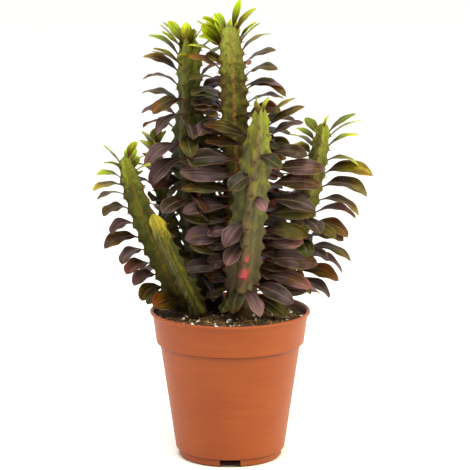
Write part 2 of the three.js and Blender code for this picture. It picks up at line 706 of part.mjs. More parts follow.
/** Every stem's leaves: each takes its first pose that is clear, and one that finds none is left off. */
function placeLeaves() {
  const bodies = STEMS.map((stem, index) => ({ index, spheres: stemSpheres(stem) }));
  const placed = [];
  const place = (index, plan) => {
    for (const dodge of DODGES) {
      const leaf = plan(dodge);
      if (leaf === null) {
        return;
      }
      const samples = leafSamples(leaf);
      if (isClear(samples, index, bodies, placed)) {
        placed.push({ index, leaf, samples });
        return;
      }
    }
  };
  STEMS.forEach((stem, index) => {
    stem.strays.forEach((stray) => place(index, (dodge) => planStray(stem, stray, dodge)));
    stem.ribs.forEach((_, rib) => {
      leafNodes(stemLine(stem).count).forEach((node) => {
        place(index, (dodge) => planLeaf(stem, index, rib, node, dodge));
      });
    });
  });
  return placed;
}

/** A three-sided thorn beside a node, on one side of the rib's crest. */
function makeThorn(stem, rib, node, hand) {
  const { line, count } = stemLine(stem);
  const share = (node + RIB_PHASE[rib] - THORN_DROP) / count;
  const angle = stem.azimuth + rib * RIB_TURN;
  const crest = stemPoint(stem, line, share, angle, crestReach(count, rib, share));
  const outward = crest.clone().sub(line.getPoint(share)).normalize();
  const across = UP.clone().cross(outward).normalize();
  const axis = outward
    .clone()
    .multiplyScalar(Math.cos(THORN_SPREAD))
    .addScaledVector(across, hand * Math.sin(THORN_SPREAD))
    .addScaledVector(UP, THORN_LIFT)
    .normalize();
  const side = axis.clone().cross(UP).normalize();
  const top = side.clone().cross(axis);
  const base = crest.clone().addScaledVector(outward, -THORN_SINK);
  const ring = [90, 210, 330].map((turn) =>
    base
      .clone()
      .addScaledVector(side, THORN_RADIUS * Math.cos(turn * DEGREE))
      .addScaledVector(top, THORN_RADIUS * Math.sin(turn * DEGREE)),
  );
  return skin([ring], base.clone().addScaledVector(axis, THORN_LENGTH + THORN_SINK));
}

/** All thorns of a stem: one at every other node of each rib, left and right in turn. */
function makeThorns(stem) {
  const { count } = stemLine(stem);
  const thorns = [];
  for (let rib = 0; rib < RIBS; rib += 1) {
    for (let node = 1 + (rib % THORN_STRIDE); node < count; node += THORN_STRIDE) {
      thorns.push(makeThorn(stem, rib, node, (node + rib) % (2 * THORN_STRIDE) < THORN_STRIDE ? 1 : -1));
    }
  }
  return thorns;
}

/** One leafy stem: the body, its leaves and its thorns, grown together. */
function makeStem(stem, index, placed) {
  const leaves = placed.filter((entry) => entry.index === index).map((entry) => makeLeaf(entry.leaf));
  const solid = wasm.Manifold.union([makeStemBody(stem), ...leaves, ...makeThorns(stem)]);
  return toMesh(stem.name, solid, { color: stem.color, roughness: 0.55, metalness: 0 });
}

const plant = new THREE.Group();
plant.add(makePot(), makeSoil());
const placedLeaves = placeLeaves();
STEMS.forEach((stem, index) => plant.add(makeStem(stem, index, placedLeaves)));

export default plant;
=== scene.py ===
"""A potted milk tree: seven three-ribbed stems with leaves and thorns, in peat, in a nursery pot.

Sizes in the classes are millimetres and angles are degrees. +Z is up, the origin is the centre of the pot's
base and the front faces -Y. Every mesh is written in metres, with its object at the origin.
"""

from __future__ import annotations

import logging
from dataclasses import dataclass, field, replace
from enum import Enum

import bmesh
import bpy
import numpy as np
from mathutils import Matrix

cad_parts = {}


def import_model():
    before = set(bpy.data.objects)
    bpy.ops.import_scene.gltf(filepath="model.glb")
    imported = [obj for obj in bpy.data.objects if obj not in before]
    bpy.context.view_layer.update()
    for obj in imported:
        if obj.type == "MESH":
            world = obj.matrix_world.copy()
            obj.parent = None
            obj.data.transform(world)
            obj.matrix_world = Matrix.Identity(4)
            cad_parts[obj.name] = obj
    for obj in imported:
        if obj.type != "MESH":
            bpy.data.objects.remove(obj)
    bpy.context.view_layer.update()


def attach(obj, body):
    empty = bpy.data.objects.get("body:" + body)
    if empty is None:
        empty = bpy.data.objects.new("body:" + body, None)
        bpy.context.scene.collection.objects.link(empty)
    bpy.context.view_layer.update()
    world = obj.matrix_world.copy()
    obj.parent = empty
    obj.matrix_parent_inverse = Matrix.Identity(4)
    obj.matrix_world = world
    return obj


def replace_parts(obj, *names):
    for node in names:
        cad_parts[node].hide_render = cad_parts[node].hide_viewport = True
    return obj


log = logging.getLogger("potted_milk_tree")

Values = np.ndarray | float
Triple = tuple[float, float, float]

MM = 0.001
UP = np.array([0.0, 0.0, 1.0])
ACROSS = np.array([1.0, 0.0, 0.0])
SMOOTH_ANGLE = 38.0

# The pot's and soil's main sizes, which the leaves keep clear of too
POT_HEIGHT = 158.6
LIP_RADIUS = 85.0
COLLAR_FOOT_RADIUS = 78.2
COLLAR_FOOT_Z = 124.0
SOIL_LEVEL = 152.4
BURIED_BOTTOM = 127.0


class Slot(Enum):
    """The record's material slots."""

    POT = "pot"
    SOIL = "soil"
    PLANT = "plant"
    YOUNG = "young_plant"


def linear(colour: str) -> tuple[float, float, float, float]:
    """The linear RGBA of an sRGB hex colour such as "#c4683f".

    Each channel c becomes c / 12.92 where it is at most 0.04045, and ((c + 0.055) / 1.055) ** 2.4 above.

    Args:
        colour: the hex colour.

    Returns:
        Red, green, blue and 1.
    """
    channels = [int(colour[i : i + 2], 16) / 255 for i in (1, 3, 5)]
    turned = [c / 12.92 if c <= 0.04045 else ((c + 0.055) / 1.055) ** 2.4 for c in channels]
    return turned[0], turned[1], turned[2], 1.0


def ease(value: Values, low: float, high: float) -> Values:
    """The share of value between low and high, s * s * (3 - 2 * s), so it is eased at both ends."""
    share = np.clip((value - low) / (high - low), 0, 1)
    return share * share * (3 - 2 * share)


def mix(start: Values, end: Values, share: Values) -> Values:
    """The value at a share of the way from start to end."""
    return start + (end - start) * share


def unit(vectors: np.ndarray) -> np.ndarray:
    """The vectors along the last axis at length 1."""
    return vectors / np.linalg.norm(vectors, axis=-1, keepdims=True)


def level(azimuth: Values) -> np.ndarray:
    """Level unit vectors (cos, sin, 0) at azimuths in degrees."""
    turn = np.radians(azimuth)
    return np.stack([np.cos(turn), np.sin(turn), np.zeros_like(turn)], axis=-1)


@dataclass
class Surface:
    """Points, faces and point attributes that become one mesh.

    Attributes hold three numbers a point and are what the materials read.
    """

    points: list[np.ndarray] = field(default_factory=list)
    faces: list[list[int]] = field(default_factory=list)
    marks: dict[str, list[np.ndarray]] = field(default_factory=dict)

    def add(self, points: np.ndarray, faces: list[list[int]], **marks: np.ndarray) -> None:
        """Adds a part.

        Args:
            points: an (n, 3) array in millimetres.
            faces: lists of indices into points.
            marks: (n, 3) arrays of attributes, alike for every part.
        """
        start = sum(len(part) for part in self.points)
        self.points.append(points)
        self.faces.extend((np.asarray(face) + start).tolist() for face in faces)
        for name, values in marks.items():
            self.marks.setdefault(name, []).append(values)

    def piece(
        self, name: str, material: bpy.types.Material, slot: Slot, smooth: bool = True
    ) -> bpy.types.Object:
        """Makes the mesh object, in metres, and lets it ride on the one body.

        Args:
            name: the piece's name.
            material: its one material.
            slot: not used.
            smooth: whether faces shade smoothly up to SMOOTH_ANGLE.

        Returns:
            The linked object, at the origin.
        """
        mesh = bpy.data.meshes.new(name)
        points = np.concatenate(self.points) * MM
        mesh.from_pydata(points.tolist(), [], self.faces)
        for mark, parts in self.marks.items():
            layer = mesh.attributes.new(mark, "FLOAT_VECTOR", "POINT")
            layer.data.foreach_set("vector", np.concatenate(parts).astype(np.float32).ravel())
        mesh.polygons.foreach_set("use_smooth", np.full(len(mesh.polygons), smooth))
        if smooth:
            mesh.set_sharp_from_angle(angle=np.radians(SMOOTH_ANGLE))
        mesh.materials.append(material)
        mesh.update()
        item = bpy.data.objects.new(name, mesh)
        bpy.context.scene.collection.objects.link(item)
        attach(item, "root")
        log.info("%s: %d points, %d faces", name, len(points), len(self.faces))
        return item


def grid_faces(rows: int, sides: int) -> list[list[int]]:
    """The quads between closed rows of equally many points: each point, the next, and the two a row on.

    Args:
        rows: how many rows.
        sides: how many points in each.

    Returns:
        The faces' point numbers.
    """
    row, side = np.meshgrid(np.arange(rows - 1), np.arange(sides), indexing="ij")
    here = row * sides + side
    beside = row * sides + (side + 1) % sides
    return np.stack([here, beside, beside + sides, here + sides], axis=-1).reshape(-1, 4).tolist()


def tube_faces(rows: int, sides: int) -> list[list[int]]:
    """The quads of a tube, with a flat cap on its first row and a fan to one last point after its rows.

    Args:
        rows: how many rows.
        sides: how many points in each.

    Returns:
        The faces' point numbers.
    """
    last = (rows - 1) * sides
    fan = [[last + k, last + (k + 1) % sides, rows * sides] for k in range(sides)]
    return grid_faces(rows, sides) + [list(range(sides))[::-1]] + fan


def add(
    tree: bpy.types.NodeTree,
    kind: str,
    inputs: dict | list | tuple = (),
    stops: tuple = (),
    out: str | None = None,
    **settings: object,
) -> bpy.types.NodeSocket:
    """Adds a node. A colour mix has its share at input 0 and its two colours at 6 and 7.

    Args:
        tree: the node tree.
        kind: the node's type, without the ShaderNode in front.
        inputs: numbers, hex colours or linked sockets, by the input's name or number, or in their order.
        stops: a colour ramp's positions and hex colours.
        out: the output that is wanted, or the first one in use.
        settings: the node's own properties.

    Returns:
        The output.
    """
    node = tree.nodes.new("ShaderNode" + kind)
    for name, value in settings.items():
        setattr(node, name, value)
    for key, value in inputs.items() if isinstance(inputs, dict) else enumerate(inputs):
        if isinstance(value, bpy.types.NodeSocket):
            tree.links.new(value, node.inputs[key])
        else:
            node.inputs[key].default_value = linear(value) if isinstance(value, str) else value
    for i, (position, colour) in enumerate(stops):
        points = node.color_ramp.elements
        stop = points[i] if i < 2 else points.new(position)
        stop.position = position
        stop.color = linear(colour)
    return node.outputs[out] if out else next(socket for socket in node.outputs if socket.enabled)


def product(tree: bpy.types.NodeTree, ranges: list[list]) -> bpy.types.NodeSocket:
    """Multiplies ranges.

    Args:
        tree: the node tree.
        ranges: each a source, the two values that it runs between, and what it gives there, or else 0 and 1.

    Returns:
        The product.
    """
    share = add(tree, "MapRange", ranges[0])
    for bounds in ranges[1:]:
        part = add(tree, "MapRange", bounds)
        share = add(tree, "Math", [share, part], operation="MULTIPLY")
    return share


def layered(tree: bpy.types.NodeTree, colour: bpy.types.NodeSocket, layers: tuple) -> bpy.types.NodeSocket:
    """Lays colours over one another.

    Args:
        tree: the node tree.
        colour: the lowest colour.
        layers: for each, its colour and the ranges whose product is its share.

    Returns:
        The final colour.
    """
    for upper, *ranges in layers:
        share = product(tree, ranges)
        colour = add(tree, "Mix", {0: share, 6: colour, 7: upper}, data_type="RGBA")
    return colour


def shader(name: str) -> tuple[bpy.types.Material, bpy.types.NodeTree, bpy.types.Node]:
    """Makes a material.

    Args:
        name: its name.

    Returns:
        The material, its tree and its Principled shader.
    """
    material = bpy.data.materials.new(name)
    material.use_nodes = True
    return material, material.node_tree, material.node_tree.nodes["Principled BSDF"]


@dataclass(frozen=True)
class MouldedPolypropylene:
    """Injection-moulded polypropylene, coloured through: a satin skin with faint level flow bands.

    The grain of the mould, about 0.1 mm, is too fine to show and is drawn coarser.
    """

    colour: str = "#8c3d12"
    flow: str = "#964717"
    # Painted highlight: a lighter colour over the top lip_mm of the pot, on the lip
    lip_highlight: str = "#8f431c"
    corner: str = "#4c1c08"
    band_mm: float = 5.0
    cloud_mm: float = 60.0
    grain_mm: float = 0.9
    lip_mm: float = 6.0
    # Where little light reaches: under the collar, under the step and at the foot's edge, each as the two
    # heights between which it darkens, and how far
    corners: tuple[Triple, ...] = (
        (117.5, COLLAR_FOOT_Z + 0.2, 0.9),
        (5.4, 9.4, 0.9),
        (-1.5, 1.4, 0.75),
    )
    corner_power: float = 1.7

    def material(self) -> bpy.types.Material:
        """Level bands and broad clouds tint the colour, a painted highlight lightens the lip, corners darken
        it, and a fine grain roughens it.

        Returns:
            The material.
        """
        material, tree, bsdf = shader("moulded_polypropylene")
        place = add(tree, "TexCoord", out="Object")
        broad, narrow = 1 / (self.cloud_mm * MM), 1 / (self.band_mm * MM)
        stretched = add(tree, "Mapping", {"Vector": place, "Scale": (broad, broad, narrow)})
        bands = add(tree, "TexNoise", {"Vector": stretched, "Scale": 1.0, "Detail": 3.0})
        clouds = add(tree, "TexNoise", {"Vector": place, "Scale": broad, "Detail": 2.0})
        grain = add(tree, "TexNoise", {"Vector": place, "Scale": 1 / (self.grain_mm * MM), "Detail": 1.0})
        both = add(tree, "Math", [bands, clouds], operation="ADD")
        share = add(tree, "MapRange", [both, 0.75, 1.25])
        body = add(tree, "Mix", {0: share, 6: self.colour, 7: self.flow}, data_type="RGBA")
        height = add(tree, "SeparateXYZ", [place], out="Z")
        dark = 0.0
        for low, high, weight in self.corners:
            rising = add(tree, "MapRange", [height, low * MM, high * MM])
            below = add(tree, "Math", [height, high * MM], operation="LESS_THAN")
            inside = add(tree, "Math", [rising, below], operation="MULTIPLY")
            steep = add(tree, "Math", [inside, self.corner_power], operation="POWER")
            weighed = add(tree, "Math", [steep, weight], operation="MULTIPLY")
            dark = add(tree, "Math", [dark, weighed], operation="MAXIMUM")
        # Painted highlight, lighter towards the top of the lip
        near_lip = [height, (POT_HEIGHT - self.lip_mm) * MM, POT_HEIGHT * MM]
        coloured = layered(tree, body, ((self.lip_highlight, near_lip), (self.corner, [dark])))
        gloss = add(tree, "MapRange", [bands, 0, 1, 0.4, 0.56])
        bump = add(tree, "Bump", {"Height": grain, "Strength": 0.06, "Distance": 0.0003})
        tree.links.new(coloured, bsdf.inputs["Base Color"])
        tree.links.new(gloss, bsdf.inputs["Roughness"])
        tree.links.new(bump, bsdf.inputs["Normal"])
        bsdf.inputs["IOR"].default_value = 1.49
        bsdf.inputs["Specular IOR Level"].default_value = 0.27
        bsdf.inputs["Subsurface Weight"].default_value = 0.12
        bsdf.inputs["Subsurface Radius"].default_value = (0.004, 0.0016, 0.0008)
        bsdf.inputs["Subsurface Scale"].default_value = 1.0
        return material


@dataclass(frozen=True)
class MoistPeat:
    """Peat and bark fines: near-black crumbs with brown fibres, dull all over."""

    dark: str = "#110b06"
    brown: str = "#38240e"
    fibre: str = "#70502a"
    crumb_mm: float = 2.2

    def material(self) -> bpy.types.Material:
        """Cells a crumb wide set the shade, and a finer noise picks out the fibres.

        Returns:
            The material.
        """
        material, tree, bsdf = shader("moist_peat")
        place = add(tree, "TexCoord", out="Object")
        cells = add(tree, "TexVoronoi", {"Vector": place, "Scale": 1 / (self.crumb_mm * MM)})
        fine = add(tree, "TexNoise", {"Vector": place, "Scale": 2 / (self.crumb_mm * MM), "Detail": 4.0})
        shade = add(tree, "ValToRGB", [cells], stops=((0.0, self.brown), (0.7, self.dark)))
        colour = layered(tree, shade, ((self.fibre, [fine, 0.55, 0.75]),))
        bump = add(tree, "Bump", {"Height": fine, "Strength": 0.8, "Distance": 0.0015})
        tree.links.new(colour, bsdf.inputs["Base Color"])
        tree.links.new(bump, bsdf.inputs["Normal"])
        bsdf.inputs["Roughness"].default_value = 0.92
        return material


@dataclass(frozen=True)
class Crumb:
    """A loose mineral or bark crumb: a dull broken surface whose shade runs from one grain to the next.

    Count is how many are strewn, sizes their least and greatest half size, and stretch how long one may be
    for its width.
    """

    name: str
    low: str
    high: str
    pit_mm: float
    roughness: float
    count: int
    sizes: tuple[float, float]
    stretch: float

    def material(self) -> bpy.types.Material:
        """Each grain's own draw, in the attribute grain, picks its shade, and a fine noise pits it.

        Returns:
            The material.
        """
        material, tree, bsdf = shader(self.name)
        place = add(tree, "TexCoord", out="Object")
        grain = add(tree, "Attribute", out="Vector", attribute_name="grain")
        drawn = add(tree, "SeparateXYZ", [grain])
        pits = add(tree, "TexNoise", {"Vector": place, "Scale": 1 / (self.pit_mm * MM), "Detail": 3.0})
        both = add(tree, "Math", [drawn, pits], operation="MULTIPLY")
        shade = add(tree, "MapRange", [both, 0, 0.6])
        colour = add(tree, "Mix", {0: shade, 6: self.low, 7: self.high}, data_type="RGBA")
        bump = add(tree, "Bump", {"Height": pits, "Strength": 0.6, "Distance": 0.0005})
        tree.links.new(colour, bsdf.inputs["Base Color"])
        tree.links.new(bump, bsdf.inputs["Normal"])
        bsdf.inputs["Roughness"].default_value = self.roughness
        return material


BARK = Crumb(
    "bark_chips",
    low="#1e1208",
    high="#886234",
    pit_mm=1.5,
    roughness=0.85,
    count=2100,
    sizes=(0.5, 2.0),
    stretch=2.2,
)
PERLITE = Crumb(
    "expanded_perlite",
    low="#cfc8be",
    high="#faf7f2",
    pit_mm=1.0,
    roughness=0.9,
    count=80,
    sizes=(1.0, 3.2),
    stretch=1.2,
)


@dataclass(frozen=True)
class SucculentSkin:
    """Waxy succulent skin: a satin cuticle over green tissue, paler along the faces and corky on the crests.

    The colours low, middle and high run up the stem, and tip covers its end: paler young growth, partly
    a painted sheen on the top. Moss and lime are soft patches.
    Band fills each groove from band_edge on, and crest each rib as far as crest_reach, both shares of the way
    from crest to groove. The attribute place holds 0 at a crest to 1 in a groove, the count of leaf nodes so
    far, and the share of the stem's length. The first number of the attribute tone is 1 on a scar.
    """

    name: str
    low: str
    middle: str
    high: str
    band: str
    crest: str
    moss: str
    lime: str
    # Paler end of the stem: young growth, partly a painted sheen
    tip: str = "#8e9a2c"
    band_edge: float = 0.42
    crest_reach: float = 0.34
    band_weight: float = 0.85
    corky: str = "#4a3020"
    scar: str = "#a43c44"
    blotch_mm: float = 11.0
    mottle_mm: float = 5.0

    def material(self) -> bpy.types.Material:
        """The length ramp sets the green, then patches, band, crest, node spots and scar are laid over it.

        Returns:
            The material.
        """
        material, tree, bsdf = shader(self.name)
        spot = add(tree, "TexCoord", out="Object")
        place = add(tree, "Attribute", out="Vector", attribute_name="place")
        tone = add(tree, "Attribute", out="Vector", attribute_name="tone")
        face, nodes, along = add(tree, "SeparateXYZ", [place]).node.outputs
        scarred = add(tree, "SeparateXYZ", [tone])
        mottle_scale, blotch_scale = 1 / (self.mottle_mm * MM), 1 / (self.blotch_mm * MM)
        mottle = add(
            tree, "TexNoise", {"Vector": spot, "Scale": mottle_scale, "Detail": 4.0, "Roughness": 0.6}
        )
        fine = add(tree, "TexNoise", {"Vector": spot, "Scale": 4 * mottle_scale, "Detail": 3.0})
        blotch = add(tree, "TexNoise", {"Vector": spot, "Scale": blotch_scale, "Detail": 2.0})
        uneven = add(tree, "MapRange", [mottle, 0, 1, -0.22, 0.22])
        height = add(tree, "Math", [along, uneven], operation="ADD")
        stops = ((0.05, self.low), (0.98, self.high), (0.45, self.middle), (0.8, self.middle))
        green = add(tree, "ValToRGB", [height], stops=stops)
        turns = add(tree, "Math", [nodes, 2 * np.pi], operation="MULTIPLY")
        beat = add(tree, "Math", [turns], operation="COSINE")
        layers = (
            (self.moss, [blotch, 0.42, 0.72, 0, 0.75], [along, 0.8, 0.95, 1, 0.25]),
            (self.lime, [blotch, 0.54, 0.34, 0, 0.8], [along, 0.3, 0.8]),
            # The paler end, partly a painted sheen on the top
            (self.tip, [height, 0.84, 1, 0, 0.9]),
            (self.band, [face, self.band_edge, 0.97, 0, self.band_weight], [mottle, 0.32, 0.56]),
            (self.crest, [face, 0.03, self.crest_reach, 0.7, 0], [mottle, 0.42, 0.58, 0.15, 1]),
            (self.corky, [beat, 0.55, 0.95, 0, 0.38], [face, 0.05, 0.24, 1, 0]),
        )
        clean = layered(tree, green, layers)
        speck = add(tree, "MapRange", [fine, 0.3, 0.7, 0.66, 1.2])
        shaded = add(tree, "Mix", {0: 1.0, 6: clean, 7: speck}, data_type="RGBA", blend_type="MULTIPLY")
        final = layered(tree, shaded, ((self.scar, [scarred]),))
        relief = add(tree, "Math", [mottle, fine], operation="ADD")
        bump = add(tree, "Bump", {"Height": relief, "Strength": 0.7, "Distance": 0.002})
        tree.links.new(final, bsdf.inputs["Base Color"])
        tree.links.new(bump, bsdf.inputs["Normal"])
        bsdf.inputs["Roughness"].default_value = 0.5
        bsdf.inputs["IOR"].default_value = 1.42
        bsdf.inputs["Specular IOR Level"].default_value = 0.3
        bsdf.inputs["Subsurface Weight"].default_value = 0.1
        bsdf.inputs["Subsurface Radius"].default_value = (0.002, 0.003, 0.0008)
        bsdf.inputs["Subsurface Scale"].default_value = 1.0
        return material


@dataclass(frozen=True)
class LeafBlade:
    """Waxy leaf: a satin cuticle that greys the dark purple, with a pale midrib and a red stalk.

    Young leaves are green. They ripen through bronze to olive, purple or mauve above, and to brown below. The
    lit colours are what shines through against the light. The attribute place holds the share of the leaf's
    length, the reach across from -1 to 1, and the leaf's length in millimetres. The attribute tone holds its
    age from 0 to 1, its own draw, and 1 on the underside. A second draw is the fraction left of the first
    times luck_factor, and fibre_factors stretch the streaks along the leaf.
    """

    name: str = "milk_tree_leaf"
    young: str = "#86961a"
    bronze: str = "#6e5a16"
    olive: str = "#323a10"
    purple: str = "#2e200c"
    mauve: str = "#664e56"
    young_under: str = "#a6a62a"
    old_under: str = "#7c4c26"
    glow: str = "#64300f"
    stalk: str = "#50160f"
    rib: str = "#a08678"
    young_rib: str = "#b4b44a"
    lit_young: str = "#a2b020"
    lit_old: str = "#9a602a"
    lit_share: float = 0.26
    vein_mm: float = 3.2
    vein_slant: float = 0.16
    cloud_mm: float = 14.0
    luck_factor: float = 7.3
    fibre_factors: Triple = (2.0, 5.0, 60.0)

    def material(self) -> bpy.types.Material:
        """Age and the leaf's draw pick the tissue, painted shade and light run along it, and midrib, veins,
        margin and stalk are laid over it.

        Returns:
            The material.
        """
        material, tree, bsdf = shader(self.name)
        spot = add(tree, "TexCoord", out="Object")
        place = add(tree, "Attribute", out="Vector", attribute_name="place")
        tone = add(tree, "Attribute", out="Vector", attribute_name="tone")
        along, reach, length = add(tree, "SeparateXYZ", [place]).node.outputs
        age, drawn, under = add(tree, "SeparateXYZ", [tone]).node.outputs
        cloud = add(tree, "TexNoise", {"Vector": spot, "Scale": 1 / (self.cloud_mm * MM), "Detail": 3.0})
        uneven = add(tree, "MapRange", [cloud, 0, 1, -0.6, 0.6])
        kind = add(tree, "Math", [drawn, uneven], operation="ADD")
        stops = ((0.2, self.olive), (0.9, self.mauve), (0.5, self.purple))
        old = add(tree, "ValToRGB", [kind], stops=stops)
        ripening = add(tree, "Math", [age, uneven], operation="ADD")
        turning = add(tree, "MapRange", [ripening, 0.05, 0.45])
        pairs = (
            (self.young, self.bronze),
            (self.young_under, self.old_under),
            (self.young_rib, self.rib),
            (self.lit_young, self.lit_old),
        )
        fresh, below, rib_tone, lit = (
            add(tree, "Mix", {0: turning, 6: young, 7: ripe}, data_type="RGBA") for young, ripe in pairs
        )
        tissue = layered(tree, fresh, ((old, [ripening, 0.4, 0.9]), (below, [under])))
        own = add(tree, "Math", [drawn, self.luck_factor], operation="MULTIPLY")
        luck = add(tree, "Math", [own], operation="FRACT")
        fibres = [
            add(tree, "Math", [source, factor], operation="MULTIPLY")
            for source, factor in zip((along, reach, drawn), self.fibre_factors, strict=True)
        ]
        stretched = add(tree, "CombineXYZ", fibres)
        streak = add(tree, "TexNoise", {"Vector": stretched, "Scale": 1.0, "Detail": 2.0})
        # Each leaf's own brightness, painted shade that darkens the blade towards the stalk, where stem and
        # leaves crowd, with painted light towards the tip, and streaks along the blade, partly a painted
        # sheen
        ranges = [[luck, 0, 1, 0.3, 1.45], [along, 0.2, 0.85, 0.06, 1.45], [streak, 0.3, 0.7, 0.5, 1.7]]
        shade = product(tree, ranges)
        # The painted shade darkens the tissue and also the light that shines through it
        tissue, lit = (
            add(tree, "Mix", {0: 1.0, 6: colour, 7: shade}, data_type="RGBA", blend_type="MULTIPLY")
            for colour in (tissue, lit)
        )
        side = add(tree, "Math", [reach], operation="ABSOLUTE")
        slant = add(tree, "Math", [side, -self.vein_slant, along], operation="MULTIPLY_ADD")
        metric = add(tree, "Math", [slant, length], operation="MULTIPLY")
        waves = add(tree, "Math", [metric, 2 * np.pi / self.vein_mm], operation="MULTIPLY")
        vein = add(tree, "Math", [waves], operation="COSINE")
        veined = add(tree, "MapRange", [vein, 0.5, 1, 0, 0.06])
        midrib = add(tree, "MapRange", [side, 0.02, 0.12, 0.32, 0])
        lines = add(tree, "Math", [veined, midrib], operation="MAXIMUM")
        layers = (
            (self.glow, [along, 0.14, 0.6, 1, 0], [turning, 0, 1, 0.75, 0.15]),
            (rib_tone, [lines]),
            (rib_tone, [side, 0.9, 1, 0, 0.55]),
            (self.stalk, [along, 0.1, 0.2, 1, 0]),
        )
        final = layered(tree, tissue, layers)
        relief = add(tree, "Math", [lines, -1.5, cloud], operation="MULTIPLY_ADD")
        bump = add(tree, "Bump", {"Height": relief, "Strength": 0.5, "Distance": 0.0012})
        tree.links.new(final, bsdf.inputs["Base Color"])
        tree.links.new(bump, bsdf.inputs["Normal"])
        bsdf.inputs["Roughness"].default_value = 0.38
        bsdf.inputs["IOR"].default_value = 1.45
        bsdf.inputs["Specular IOR Level"].default_value = 0.2
        through = add(tree, "BsdfTranslucent", {"Color": lit})
        thin = add(tree, "MapRange", [luck, 0, 1, self.lit_share / 2, self.lit_share * 2])
        both = add(tree, "MixShader", [thin, bsdf.outputs[0], through])
        tree.links.new(both, tree.nodes["Material Output"].inputs["Surface"])
        return material


@dataclass(frozen=True)
class DryThorn:
    """Dead, hardened thorn: dark brown horn, paler towards its tip."""

    base: str = "#2e1a12"
    tip: str = "#7a5236"

    def material(self) -> bpy.types.Material:
        """The attribute place runs from 0 at the thorn's root to 1 at its tip.

        Returns:
            The material.
        """
        material, tree, bsdf = shader("dry_thorn")
        place = add(tree, "Attribute", out="Vector", attribute_name="place")
        along = add(tree, "SeparateXYZ", [place])
        colour = add(tree, "Mix", {0: along, 6: self.base, 7: self.tip}, data_type="RGBA")
        tree.links.new(colour, bsdf.inputs["Base Color"])
        bsdf.inputs["Roughness"].default_value = 0.5
        return material


@dataclass(frozen=True)
class Rib:
    """How one rib's leaves stand.

    They run from start to end, as shares of the stem's length. Lift and rest are their slopes at the stalk
    and at the tip, roll tilts them about their own length, turn swings them sideways, length scales them, and
    bare is the share of the nodes that carry none.
    """

    start: float
    end: float
    lift: float
    rest: float
    roll: float
    turn: float
    length: float
    bare: float


@dataclass(frozen=True)
class Stray:
    """One leaf of its own, at a share of the stem's length and an angle round it.

    Heading is its azimuth. Lift, rest and roll are as a rib's, and length and width are in millimetres.
    """

    along: float
    angle: float
    heading: float
    lift: float
    rest: float
    roll: float
    length: float
    width: float


@dataclass(frozen=True)
class Leaf:
    """A leaf's root, azimuth, slopes, roll and size, its age from 0 to 1, and the seed of its draws."""

    root: np.ndarray
    heading: float
    lift: float
    rest: float
    roll: float
    length: float
    width: float
    age: float
    seed: int


class Draws:
    """A repeatable run of numbers from -1 to 1: state becomes state * 48271 modulo 2 ** 31 - 1."""

    FACTOR = 48271
    MODULUS = 2147483647

    def __init__(self, seed: int) -> None:
        """Starts the run at a seed and passes over its first two numbers.

        Args:
            seed: a whole number above 0.
        """
        self.state = seed
        self.next()
        self.next()

    def next(self) -> float:
        """The next number."""
        self.state = self.state * self.FACTOR % self.MODULUS
        return 2 * self.state / self.MODULUS - 1


# Each stem has three ribs. Their leaf nodes lie a third of the spacing apart, and a crest swells at each
RIBS = 3
RIB_TURN = 360 / RIBS
RIB_PHASE = (0.0, 1 / 3, -1 / 3)
CREST_SWELL = 0.09


